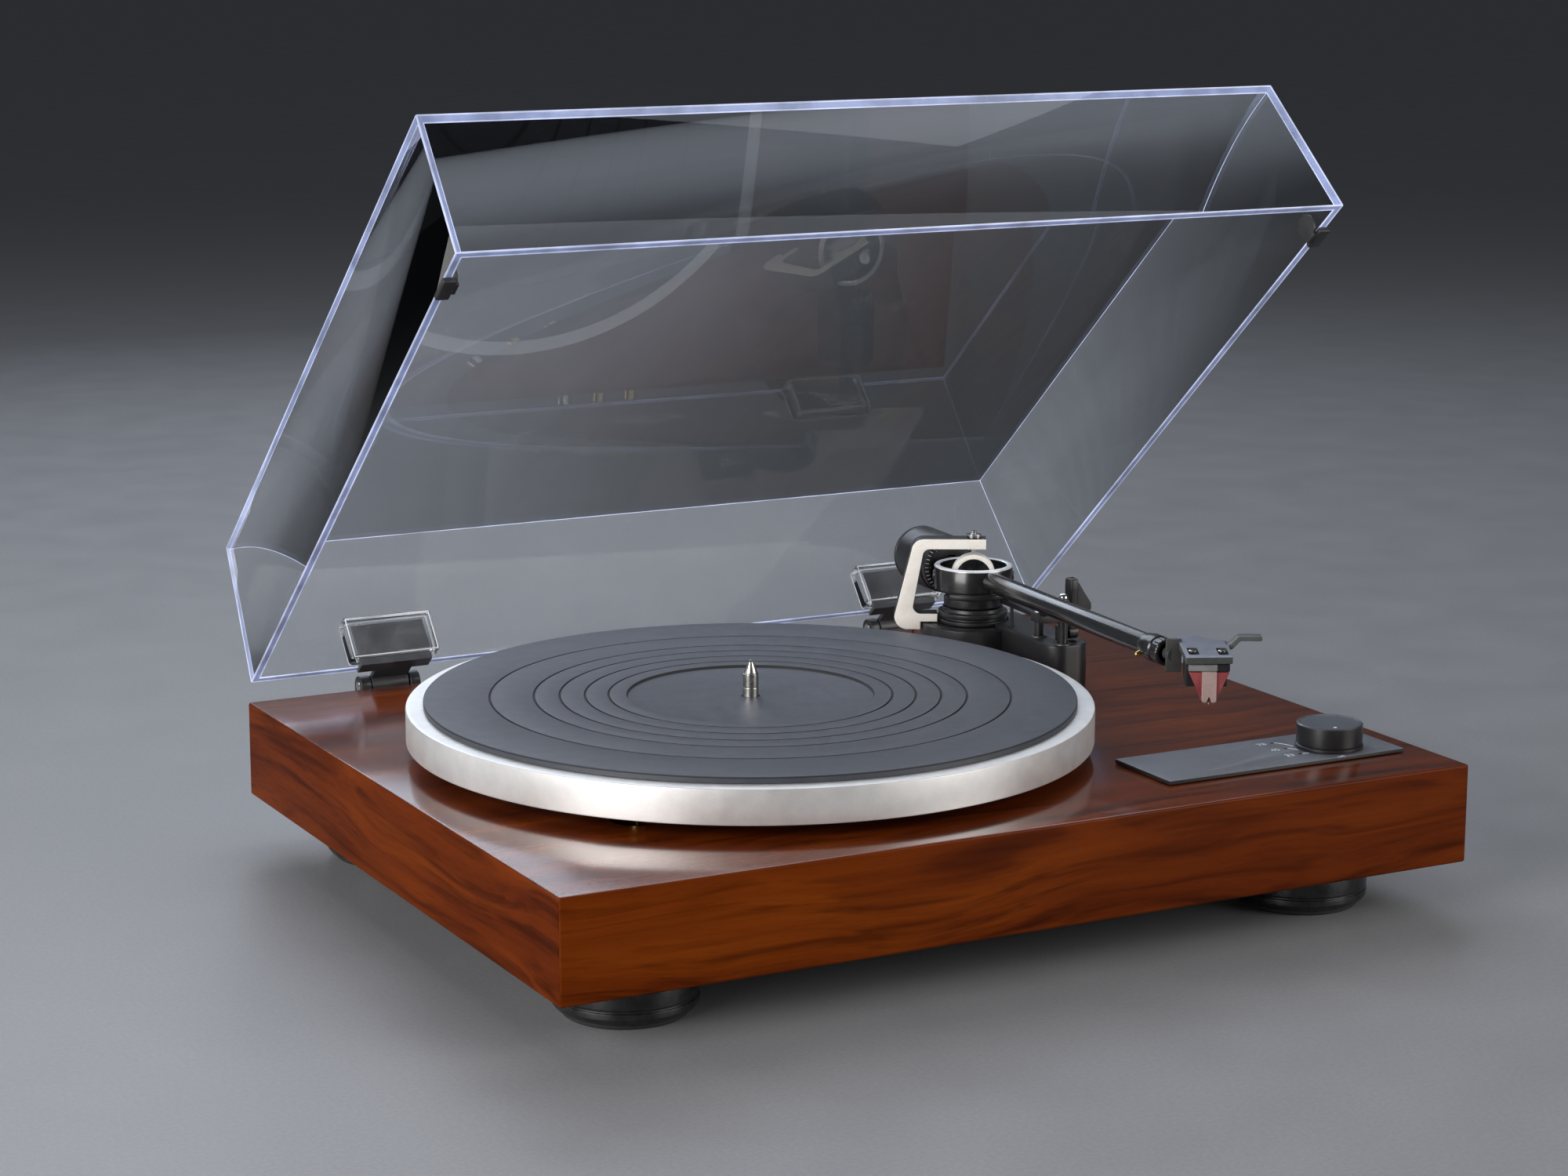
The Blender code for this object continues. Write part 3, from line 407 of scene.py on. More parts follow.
def knurled(mesh, factor, chosen):
    """Draws the chosen points in towards the axis."""
    for vert in mesh.vertices:
        if chosen(vert):
            vert.co.xy = vert.co.xy * factor
    return mesh


def rect(x0, y0, x1, y1, radius, count=3):
    """A rectangle with round corners."""
    return soften([(x0, y0), (x1, y0), (x1, y1), (x0, y1)], radius, count, True)


def arc(x, y, radius, start, end, count=6):
    """Points of an arc, with its angles in degrees."""
    angles = [radians(start + (end - start) * i / count) for i in range(count + 1)]
    return [(x + radius * cos(a), y + radius * sin(a)) for a in angles]


def from_object(thing):
    """The mesh of an object with its modifiers applied. The object is removed."""
    graph = bpy.context.evaluated_depsgraph_get()
    graph.update()
    mesh = bpy.data.meshes.new_from_object(thing.evaluated_get(graph))
    data = thing.data
    bpy.data.objects.remove(thing, do_unlink=True)
    if isinstance(data, bpy.types.Curve):
        bpy.data.curves.remove(data)
    return mesh


def hold(data, name="working"):
    """A new object in the scene."""
    thing = bpy.data.objects.new(name, data)
    scene.collection.objects.link(thing)
    return thing


def plate(outlines, thickness, edge=0.3):
    """A flat outline, with holes if there is more than one loop, with rounded edges, about z = 0."""
    curve = bpy.data.curves.new("plate", "CURVE")
    curve.dimensions = "2D"
    curve.fill_mode = "BOTH"
    curve.extrude = thickness / 2 - edge
    curve.bevel_depth = edge
    curve.bevel_resolution = 2
    curve.offset = -edge
    for outline in outlines:
        spline = curve.splines.new("POLY")
        spline.points.add(len(outline) - 1)
        for point, place in zip(spline.points, outline):
            point.co = (place[0], place[1], 0, 1)
        spline.use_cyclic_u = True
    mesh = from_object(hold(curve))
    shape = bmesh.new()
    shape.from_mesh(mesh)
    bmesh.ops.remove_doubles(shape, verts=shape.verts, dist=0.001)
    bmesh.ops.recalc_face_normals(shape, faces=shape.faces)
    return smooth(to_mesh(shape, mesh))


def block(low, high, edge=0.3, segments=3, lean=None):
    """A box between two corners with rounded edges. lean(point) may move its corners first."""
    shape = bmesh.new()
    size = [b - a for a, b in zip(low, high)]
    centre = Vector([(a + b) / 2 for a, b in zip(low, high)])
    bmesh.ops.create_cube(shape, size=1, matrix=MOVE(centre) @ Matrix.Diagonal((*size, 1)))
    if lean:
        for vert in shape.verts:
            vert.co = lean(vert.co.copy())
    mesh = to_mesh(shape)
    if edge:
        mesh = bevelled(mesh, edge, segments)
    return smooth(mesh)


def bevelled(mesh, width, segments=3, angle=35):
    thing = hold(mesh)
    step = thing.modifiers.new("edge", "BEVEL")
    step.width = width
    step.segments = segments
    step.limit_method = "ANGLE"
    step.angle_limit = radians(angle)
    return smooth(from_object(thing))


def moved(mesh, where):
    mesh.transform(where)
    return mesh


def merged(*meshes):
    """Several meshes as one, each with its own material number if it came as (mesh, number)."""
    shape = bmesh.new()
    for entry in meshes:
        mesh, number = entry if isinstance(entry, tuple) else (entry, None)
        before = len(shape.faces)
        shape.from_mesh(mesh)
        shape.faces.ensure_lookup_table()
        if number is not None:
            for face in shape.faces[before:]:
                face.material_index = number
    return smooth(to_mesh(shape))


def carved(mesh, *cutters):
    """A mesh with others cut out of it."""
    thing = hold(mesh)
    held = []
    for cutter in cutters:
        tool = hold(cutter)
        held.append(tool)
        step = thing.modifiers.new("cut", "BOOLEAN")
        step.operation = "DIFFERENCE"
        step.solver = "EXACT"
        step.object = tool
    out = from_object(thing)
    for tool in held:
        bpy.data.objects.remove(tool, do_unlink=True)
    return smooth(out)


def bars(lines, radius, sides=8):
    """Round bars with flat ends, between pairs of points."""
    shape = bmesh.new()
    for start, end in lines:
        start, end = Vector(start), Vector(end)
        way = end - start
        turn = way.to_track_quat("Z", "Y").to_matrix().to_4x4()
        bmesh.ops.create_cone(shape, cap_ends=True, segments=sides, radius1=radius, radius2=radius,
                              depth=way.length, matrix=MOVE((start + end) / 2) @ turn)
    return smooth(to_mesh(shape))


def letters(text, size, raise_by=0.04):
    """Generic dial lettering as a thin raised print, about its middle."""
    curve = bpy.data.curves.new("print", "FONT")
    curve.body = text
    curve.size = size
    curve.extrude = raise_by / 2
    curve.align_x = "CENTER"
    curve.align_y = "CENTER"
    return from_object(hold(curve))


def show(name, mesh, where, body, looks, node=None, slot=None):
    """Places a finished mesh on a body, with its materials, and hides the CAD node it stands for.

    Its slot, its own or else its node's, only decides its shadow: clear pieces cast no shadow.
    """
    mesh.name = name
    numbers = [face.material_index for face in mesh.polygons]
    mesh.materials.clear()          # this also forgets the faces' material numbers
    for look in looks.split():
        mesh.materials.append(LOOKS[look])
    mesh.polygons.foreach_set("material_index", numbers)
    if where == LID:                # drawn closed, placed open, so that its box is the true one
        mesh.transform(where)
        where = Matrix.Identity(4)
    mesh.transform(Matrix.Scale(0.001, 4))
    piece = hold(mesh, name)
    piece.matrix_world = MOVE(where.translation / 1000) @ where.to_3x3().to_4x4()
    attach(piece, body)
    if node:
        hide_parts(node)
    slot = slot or SLOTS[node]
    piece.visible_shadow = slot != "clear"


def recolour(look, *nodes):
    """Gives CAD nodes that stay a procedural material."""
    for node in nodes:
        slots = frame["nodes"][node].data.materials
        slots.clear()
        slots.append(LOOKS[look])


# ---- plinth and feet

def make_plinth():
    half, depth, high = PLINTH_W / 2, PLINTH_D, PLINTH_H
    outer = block((-half, 0, -high), (half, depth, 0), 1.2, 5)
    inner = half - 15
    cutters = [block((-inner, 15, -high - 10), (inner, depth - 15, -12), 0),
               block((-26, depth - 30, -36), (78, depth + 10, -12), 0)]
    for place, radius in ((platter_mid, 10.5), (pulley_mid, 12), (knob_mid, 6), (pivot, 6)):
        cutters.append(moved(rod(radius, 10, -20), shift(place.x, place.y)))
    mesh = carved(outer, *cutters)
    for face in mesh.polygons:
        face.material_index = 0 if face.normal.z > 0.6 else 2 if abs(face.normal.x) > 0.75 else 1
    show("plinth_veneered", mesh, DECK, "deck", "veneer_top veneer_front veneer_side", "plinth")
    cover = plate([rect(-inner, 15.3, inner, depth - 15.3, 2)], 2.8, 0.4)
    show("bottom_cover_plate", cover, DECK @ shift(0, 0, -high + 1.5), "deck", "black_soft", "bottom_cover")


def make_feet():
    for name in ("front_left", "front_right", "back_left", "back_right"):
        low, high = box("foot_" + name)
        centre = (low + high) / 2
        r, top = (high.x - low.x) / 2, high.z
        floor = box("foot_pad_" + name)[0].z
        where = shift(centre.x, centre.y, floor)
        h = top - floor
        profile = [(0, h), (r - 5.2, h), (r - 4.6, h - 0.6), (r - 4.6, h - 3.4), (r - 1.6, h - 3.8),
                   (r - 0.6, h - 4.6), (r - 0.6, h - 5.6), (r - 1.2, h - 6), (r - 1.2, h - 6.6), (r, h - 7.4),
                   (r, 9.2), (r - 0.5, 8.8), (r - 0.5, 8), (r, 7.6), (r, 5.2), (r - 1.2, 3.4), (r - 3.2, 2.2),
                   (r - 3.2, 3.6), (0, 3.6)]
        mesh = lathe(profile, 96, 0.4, ((h - 5.8, h - 3.8, 1),))
        show("foot_body_" + name, mesh, where, "deck", "foot steel", "foot_" + name)
        pad = [(0, 3.3), (r - 4, 3.3), (r - 4, 0.6), (r - 4.8, 0), (12, 0), (11.5, 0.8), (0, 0.8)]
        show("foot_sole_" + name, lathe(pad, 64, 0.2), where, "deck", "rubber", "foot_pad_" + name)


# ---- platter and drive

def make_platter():
    low, high = box("platter")
    r, top, under = (high.x - low.x) / 2, (high - plinth_high).z, (low - plinth_high).z
    bore = 4
    profile = [(bore, top), (150, top), (r, top), (r, under), (140.2, under), (138, under + 2),
               (138, top - 4.2), (bore, top - 4.2)]
    show("platter_alloy", lathe(profile, 192, 0.7), PLATTER, "platter", "alloy", "platter")

    mat_r, seat, up = 144.3, top + 0.3, top + 3
    profile = [(bore, seat), (mat_r, seat, 0), (mat_r, up, 0.7)]
    depth, half = 0.6, 0.55
    for groove in (115.1, 95.7, 84.3, 73.2, 62.8):
        profile += [(groove + half, up, 0.1), (groove + half * 0.5, up - depth, 0),
                    (groove - half * 0.5, up - depth, 0), (groove - half, up, 0.1)]
    profile += [(54.9, up, 0.1), (54.3, up - 1.2, 0.1), (bore, up - 1.2, 0)]
    # The groove floors take the darker colour, a painted shade in the grooves
    mesh = lathe(profile[::-1], 192, 0.01, ((up - 0.62, up - 0.2, 1),))
    show("mat_grooved", mesh, PLATTER, "platter", "mat groove", "mat")

    tip = (box("platter_spindle")[1] - plinth_high).z
    r = 3.55
    profile = [(0, tip), (0.5, tip - 0.1), (1.1, tip - 0.9), (r - 0.4, tip - 5.6), (r - 0.4, tip - 6),
               (r, tip - 6.3), (r, tip - 11.8), (r - 0.12, tip - 12), (r - 0.12, tip - 12.3), (r, tip - 12.5),
               (r, -29), (1.8, -30.5), (0, -30.5)]
    show("spindle_polished", lathe(profile, 48, 0.2), PLATTER, "platter", "steel", "platter_spindle")
    profile = [(bore, 17.2), (73, 17.2), (73, 8.5), (18, 8.5), (14, 4.5), (bore, 4.5)]
    show("sub_platter_disc", lathe(profile, 128, 0.5), PLATTER, "platter", "black_soft", "sub_platter")
    profile = [(bore, 2.6), (20, 2.6), (20, 0.3), (9.2, 0.3), (9.2, -34), (0, -34), (0, -31), (bore, -31)]
    show("bearing_sleeve", lathe(profile, 64, 0.3), PLATTER, "deck", "steel", "bearing_housing")


def make_drive():
    r = 9
    profile = [(0, 16.2), (3, 16.2), (r + 0.8, 16.2), (r + 0.8, 15.7), (r, 15)]
    for k in range(1, 8):
        profile.append((r + 0.25 * sin(pi * k / 8), 15 - 0.5 * k))
    profile += [(r, 11), (r + 0.8, 10.3), (r + 0.8, 10), (4, 10), (4, 1.5), (1, 1.5), (1, -20), (0, -20)]
    show("pulley_turned", lathe(profile, 64), PULLEY, "motor_pulley", "brass", "motor_pulley")
    profile = [(1.4, -12.4), (19.8, -12.4), (19.8, -35.8), (0, -35.8), (0, -20.5), (1.4, -20.5)]
    show("motor_can", lathe(profile, 64, 0.6), PULLEY, "deck", "leaf", "motor")
    recolour("rubber", "drive_belt")
    recolour("board", "control_board")
    recolour("black_soft", "speed_switch")


# ---- panel and knob

def make_controls():
    low, high = (DECK_INV @ p for p in box("control_panel"))
    top = high.z
    outline = rect(low.x, low.y, high.x, high.y, 0.4, 2)
    hole = arc(knob_mid.x, knob_mid.y, 6, 360, 0, 48)[:-1]
    panel = plate([outline, hole], high.z - low.z, 0.35)
    # The top takes the lighter panel colour as painted sheen; the edges are black
    for face in panel.polygons:
        face.material_index = 0 if face.normal.z > 0.7 else 1
    show("panel_plate", panel, DECK @ shift(0, 0, (low.z + high.z) / 2), "deck", "panel black_satin",
         "control_panel")

    # Dial print: numbers, dots and thin lines that lead in to the knob
    marks, dots = [], []
    for text, x, y, size in (("78", 152, 63.2, 4.6), ("45", 151.8, 52.6, 4.6), ("33", 152.1, 42, 4.6),
                             ("off", 170.6, 29.8, 4)):
        marks.append(moved(letters(text, size), shift(x, y, top + 0.02)))
    lines = []
    for x, y, heading in ((157.4, 63, 152), (157.2, 52.5, 176), (157.5, 42, 200)):
        dots.append(moved(rod(0.85, 0.05, -0.1, 16), shift(x, y, top)))
        end = Vector((knob_mid.x + 15.8 * cos(radians(heading)), knob_mid.y + 15.8 * sin(radians(heading))))
        start = Vector((x + 1.2, y))
        bend = Vector((end.x - 1.5, start.y + (end.y - start.y) * 0.25))
        path = [(1 - t) ** 2 * start + 2 * t * (1 - t) * bend + t * t * end for t in (0, 0.25, 0.5, 0.75, 1)]
        lines += [((*a, top), (*b, top)) for a, b in zip(path, path[1:])]
    marks.append(bars(lines, 0.16, 6))
    show("panel_print", merged(*marks), DECK, "deck", "white", slot="black_metal")
    show("panel_dots", merged(*dots), DECK, "deck", "black_gloss", slot="black_metal")

    r, high_z, base = 14.6, 13.5, 2.6
    profile = [(0, high_z - 0.3), (r - 1.6, high_z - 0.3), (r - 1.1, high_z), (r - 0.5, high_z),
               (r, high_z - 0.5), (r, base + 2), (r - 0.5, base + 1.7), (r + 0.4, base + 1.2),
               (r + 0.4, base), (3, base), (3, -22), (0, -22)]
    knob = lathe(profile, 128, 0.12)
    # Top and chamfer are painted lighter than the black sides: painted sheen on the top, partly a painted glint on
    # the chamfer
    for face in knob.polygons:
        if face.center.z > high_z - 0.9:
            face.material_index = 1 if face.normal.z > 0.95 else 2
    show("knob_body", knob, KNOB, "speed_knob", "black_satin knob_top knob_edge", "speed_knob")
    dot = moved(rod(0.8, 0.1, -0.2, 20), shift(-3.7, -9, high_z - 0.3))
    show("knob_dot", dot, KNOB, "speed_knob", "white", slot="black_metal")


# ---- back of the plinth

def make_rear():
    low, high = (DECK_INV @ p for p in box("rear_panel"))
    outline = rect(low.x, low.z, high.x, high.z, 1.5, 4)
    holes = []
    for node, r in (("rca_jack_left", 3.6), ("rca_jack_right", 3.6), ("ground_post", 2.4), ("dc_inlet", 5.2)):
        spot = middle(node)
        holes.append(arc(spot.x, spot.z, r, 360, 0, 32)[:-1])
    holes.append([(53, -26.5), (53, -21.5), (63, -21.5), (63, -26.5)])
    panel = plate([outline, *holes], high.y - low.y, 0.3)
    y = (low.y + high.y) / 2
    show("rear_plate", panel, DECK @ shift(0, y) @ STAND_XZ, "deck", "black_soft", "rear_panel")

    def behind(node):
        spot = middle(node)
        return DECK @ shift(spot.x, high.y + 0.3, spot.z) @ ALONG_Y

    for node, colour in (("rca_jack_left", "white_plastic"), ("rca_jack_right", "red_plastic")):
        where = behind(node)
        jack = [(2, 8.5), (4.2, 8.5), (4.2, 1.6), (5.8, 1.6), (5.8, 0), (3.2, 0), (3.2, -10), (0, -10),
                (0, 1), (2, 1)]
        show(node + "_sleeve", lathe(jack, 48, 0.2), where, "deck", "gold", node)
        ring = [(4.4, 3), (6.4, 3), (6.6, 2.6), (6.6, 0.2), (4.4, 0.2)]
        show(node + "_collar", lathe(ring, 48, 0.1), where, "deck", colour, slot="black_plastic")
    profile = [(0, 9.2), (4, 9.2), (4.6, 8.4), (4.6, 3), (3.4, 2.4), (3.4, 0), (2, 0), (2, -8), (0, -8)]
    post = knurled(lathe(profile, 48, 0.1), 0.95, lambda vert: 3.1 < vert.co.z < 8.3 and vert.index % 2)
    show("ground_knurled", post, behind("ground_post"), "deck", "chrome", "ground_post")
    where = behind("dc_inlet")
    profile = [(3, 1.2), (6.2, 1.2), (6.2, 0), (4.8, 0), (4.8, -14), (0, -14), (0, -11), (3, -11)]
    show("inlet_socket", lathe(profile, 48, 0.2), where, "deck", "black_gloss", "dc_inlet")
    pin = lathe([(0, 0.4), (1, 0), (1, -11.2), (0, -11.2)], 24)
    show("inlet_pin", pin, where, "deck", "chrome", slot="steel")
    recolour("black_satin", "output_switch")


# ---- lid

RIM_W, TOP_W, RIM_D, LID_H, WALL, RIM_Z = 428.1, 418.4, 343.7, 71.7, 3.5, 3.3
FRONT_DRAFT, BACK_DRAFT = 5.1, 3.5
ROUND = ((-1, 0), (1, 0), (1, 1), (-1, 1))              # the corners in turn: side, end


def lid_corner(side, end, height, inset=0):
    """A corner of the closed lid: side -1 or 1, end 0 (front) or 1 (back), height above the rim."""
    x = side * (RIM_W / 2 - inset - (RIM_W - TOP_W) / 2 * height / LID_H)
    if end:
        y = PLINTH_D - inset - BACK_DRAFT * height / LID_H
    else:
        y = PLINTH_D - RIM_D + inset + FRONT_DRAFT * height / LID_H
    return Vector((x, y, RIM_Z + height))


def ribbons(strips, thickness=0.2):
    """Thin strips, each between two lines of two points."""
    shape = bmesh.new()
    for line, other in strips:
        corners = [line[0], line[1], other[1], other[0]]
        across = (corners[1] - corners[0]).cross(corners[3] - corners[0]).normalized() * (thickness / 2)
        low = [shape.verts.new(p - across) for p in corners]
        high = [shape.verts.new(p + across) for p in corners]
        shape.faces.new(low[::-1])
        shape.faces.new(high)
        for k in range(4):
            shape.faces.new((low[k], low[(k + 1) % 4], high[(k + 1) % 4], high[k]))
    return to_mesh(shape)


def lid_solid(inset, low, high, edge):
    """A closed block with the lid's draft."""
    shape = bmesh.new()
    rows = [[shape.verts.new(lid_corner(*corner, height, inset)) for corner in ROUND]
            for height in (low, high)]
    shape.faces.new(rows[0][::-1])
    shape.faces.new(rows[1])
    for k in range(4):
        shape.faces.new((rows[0][k], rows[0][(k + 1) % 4], rows[1][(k + 1) % 4], rows[1][k]))
    return bevelled(to_mesh(shape), edge, 3) if edge else to_mesh(shape)


def make_lid():
    shell = carved(lid_solid(0, 0, LID_H, 0.6), lid_solid(WALL, -10, LID_H - WALL, 0))
    show("lid_clear", shell, LID, "lid", "clear", "lid")

    # The polished edges of the sheets, outer and inner, given a painted glow where the light comes out
    outer, inner = [], []
    for here, there in zip(ROUND, ROUND[1:] + ROUND[:1]):
        for inset, out, levels in ((0.3, outer, (0.3, LID_H - 0.3)),
                                   (WALL - 0.3, inner, (0.3, LID_H - WALL + 0.3))):
            out.append((lid_corner(*here, levels[0], inset), lid_corner(*here, levels[1], inset)))
            for level in levels:
                out.append((lid_corner(*here, level, inset), lid_corner(*there, level, inset)))
    show("lid_edge_fill", ribbons(zip(outer, inner)), LID, "lid", "rim", slot="clear")
    show("lid_edges_outer", bars(outer, 0.42, 8), LID, "lid", "edge", slot="clear")
    show("lid_edges_inner", bars(inner, 0.34, 8), LID, "lid", "edge", slot="clear")

    for side, name in ((-1, "left"), (1, "right")):
        wall = RIM_W / 2 - WALL / 2
        y0 = PLINTH_D - RIM_D + 22
        pad = block((side * wall - 3, y0 - 6.4, 0.3), (side * wall + 3, y0 + 6.4, 3.1), 0.8, 3)
        inner_x = side * (wall - 3.8)
        lobe = lathe([(0, 1.1), (4.8, 1.1), (6, 0.4), (6, -0.8), (0, -0.8)], 48, 0.3)
        lobe = moved(lobe, shift(inner_x, y0, 7.2) @ ALONG_X)
        neck = block((inner_x - 1, y0 - 3.4, 0.8), (inner_x + 1, y0 + 3.4, 6), 0.4, 2)
        show("lid_bumper_pad_" + name, merged(pad, lobe, neck), LID, "lid", "black_soft",
             "lid_bumper_" + name)


def make_hinge(name):
    x = middle("hinge_body_" + name).x
    back = PLINTH_D + 0.3
    wall = PLINTH_D - WALL
    leaf_y = wall - 5.5
    # Deck side
    pieces = [block((x - 16, back, -34), (x + 16, back + 3.5, -8), 1, 3)]
    ear = [(back + 0.5, -26), (back + 3.5, -26), (hinge.y + 4.9, hinge.z - 4)]
    ear += arc(hinge.y, hinge.z, 4.9, 0, 180, 16) + [(back + 0.5, -10)]
    for offset in (-12.5, 12.5):
        pieces.append(moved(plate([ear], 5, 0.4), shift(x + offset, 0) @ STAND_YZ))
    show("hinge_bracket_" + name, merged(*pieces), DECK, "deck", "black_satin", "hinge_body_" + name)
    pin = [(0, 15.3), (2.2, 15.3), (2.8, 14.9), (2.8, 15), (2, 14.8), (2, -14.8), (2.8, -15), (2.8, -14.9),
           (2.2, -15.3), (0, -15.3)]
    pin = moved(lathe(pin, 32), shift(x, hinge.y, hinge.z) @ ALONG_X)
    show("hinge_pin_" + name, pin, DECK, "deck", "chrome", slot="steel")
    head = [(0, 1), (2, 1), (3, 0.2), (3, -1), (0, -1)]
    screws = [moved(lathe(head, 32), shift(x + dx, back + 3.5, -29.5) @ ALONG_Y) for dx in (-9.5, 9.5)]
    show("hinge_screws_" + name, merged(*screws), DECK, "deck", "steel", slot="steel")

    # Lid side: leaf with knuckle, and the clear pocket
    low, high, t = hinge.z + 1.4, hinge.z + 3.4, 2
    side = [(hinge.y, low), (hinge.y, high), (leaf_y + t / 2, high), (leaf_y + t / 2, RIM_Z + 18),
            (leaf_y - t / 2, RIM_Z + 18), (leaf_y - t / 2, low)]
    leaf = moved(plate([side], 36, 0.3), shift(x, 0) @ STAND_YZ)
    leaf = carved(leaf, *[block((x + start, wall + 0.5, -20), (x + end, hinge.y + 10, 20), 0)
                          for start, end in ((-30, -9.2), (9.2, 30))])
    knuckle = moved(sleeve(2.4, 4.5, 9.2, -9.2, 48, 0.3), shift(x, hinge.y, hinge.z) @ ALONG_X)
    show("hinge_plate_" + name, merged(leaf, knuckle), LID, "lid", "leaf", "hinge_leaf_" + name)

    p_low, p_high, half, depth = RIM_Z + 0.4, RIM_Z + 22, 22.25, 9.5
    lean = BACK_DRAFT / LID_H

    def shear(point):
        point.y -= (point.z - RIM_Z) * lean
        return point

    body = block((x - half, wall - 0.3 - depth, p_low), (x + half, wall - 0.3, p_high), 1.6, 4, shear)
    slot = block((x - 18.8, leaf_y - 2.1, p_low - 10), (x + 18.8, leaf_y + 1.7, RIM_Z + 19), 0)
    show("pocket_clear_" + name, carved(body, slot), LID, "lid", "pocket", "hinge_pocket_" + name)
    # The pocket's edges, with a painted glow
    corners = rect(x - half + 1.2, p_low + 0.6, x + half - 1.2, p_high - 1.2, 0)
    lines = [[shear(Vector((a, y, b))) for a, b in ends] for ends in zip(corners, corners[1:] + corners[:1])
             for y in (wall - 0.3 - depth + 0.5, wall - 1.2)]
    show("pocket_edges_" + name, bars(lines, 0.3, 8), LID, "lid", "pocket_edge", slot="clear")


# ---- tonearm stand

def make_stand():
    top = 20
    profile = [(0, top), (21.5, top), (22, top - 0.4), (22.6, top), (25.4, top), (25.4, 0.3), (0, 0.3)]
    disc = lathe(profile, 128, 0.7)
    out, start, end, low, high = 9, -4, 74, 3, 26
    outline = [(start, low)] + arc(end - out, low + out, out, -90, 0, 14)
    outline += arc(end - out, high - out, out, 0, 90, 14) + [(start, high)]
    housing = moved(plate([outline], 21.4, 0.7), shift(0, 0, 11))
    seat = rod(17.6, 30, 20, 96)
    lug = block((59.5, 13, 20.5), (66.5, 16.5, 29), 0.7, 3)
    bores = [moved(rod(r, 30, 0, 32), shift(x, y, 8))
             for x, y, r in ((50.9, 9.2, 2.6), (26, 7.7, 1.4), (70.6, 11.2, 2.8))]
    housing = carved(housing, seat, *bores)
    show("base_body", merged(disc, housing, lug), STAND, "deck", "black_satin", "arm_base")
    trim = [moved(lathe([(r, 0.8), (r + 1.2, 0.8), (r + 1.4, 0), (r, 0)], 40, 0.1), shift(x, y, 21.7))
            for x, y, r in ((50.9, 9.2, 2.6), (70.6, 11.2, 2.8))]
    show("base_bushes", merged(*trim), STAND, "deck", "leaf", slot="black_metal")

    post, foot = 33.9, 20.5
    profile = [(2, post), (5, post), (5, 27.9), (14.8, 27.9), (15, 26.2), (17, 25.8), (17, 24), (15.5, 23.6),
               (15.5, 22.6), (17, 22.2), (17, foot), (0, foot), (0, 30), (2, 30)]
    show("column_turned", lathe(profile, 96, 0.3), STAND, "deck", "black_satin", "bearing_column")
    profile = [(5.4, 32.9), (12, 32.9), (12.4, 33.1), (13.6, 33.1), (14.3, 32.4), (14.3, 28.8), (13.6, 28.2),
               (5.4, 28.2)]
    dial = knurled(lathe(profile, 120, 0.2), 0.984, lambda vert: vert.co.xy.length > 14.05 and vert.index % 2)
    show("antiskate_knurled", dial, STAND, "antiskate_dial", "black_satin", "antiskate_dial")
    ticks = [[(r * cos(a), r * sin(a), 32.9) for r in (9.5, 11.2)] for a in map(radians, range(-30, 100, 10))]
    show("antiskate_scale", bars(ticks, 0.12, 6), STAND, "antiskate_dial", "white", slot="black_plastic")

    # The bracket: a machined pale face in front, the rest black
    top, under = 61.6, 56.6
    outline = [(5.9, top)] + arc(-24.5, top - 6, 6, 90, 175, 10)
    outline += arc(-32, 23.2, 6.6, 178, 270, 12)
    outline += [(-25.8, 16.6), (-25.8, 20.5), (-17.5, 20.5), (-17.5, 24.5)]
    outline += arc(-25.5, 28.5, 4, -90, -175, 8) + arc(-21.5, under - 3.5, 3.5, 175, 90, 8)
    outline += [(5.9, under)]
    bracket = moved(plate([outline], 10, 0.3), STAND_YZ)
    for face in bracket.polygons:
        face.material_index = 0 if face.normal.x > 0.3 else 1
    show("bracket_machined", bracket, GIMBAL @ shift(0, 0, -ARM_Z), "deck", "cream black_satin", "c_bracket")
    profile = [(0, 65), (1.4, 65), (1.4, 63.8), (1.6, 63.6)]
    profile += [(3.8, 63.4), (3.8, top + 0.3), (1.6, top + 0.3), (1.6, 56), (0.5, 54.1), (0, 54.1)]
    show("pivot_screw", lathe(profile, 48, 0.1), STAND, "deck", "chrome", "top_pivot_screw")


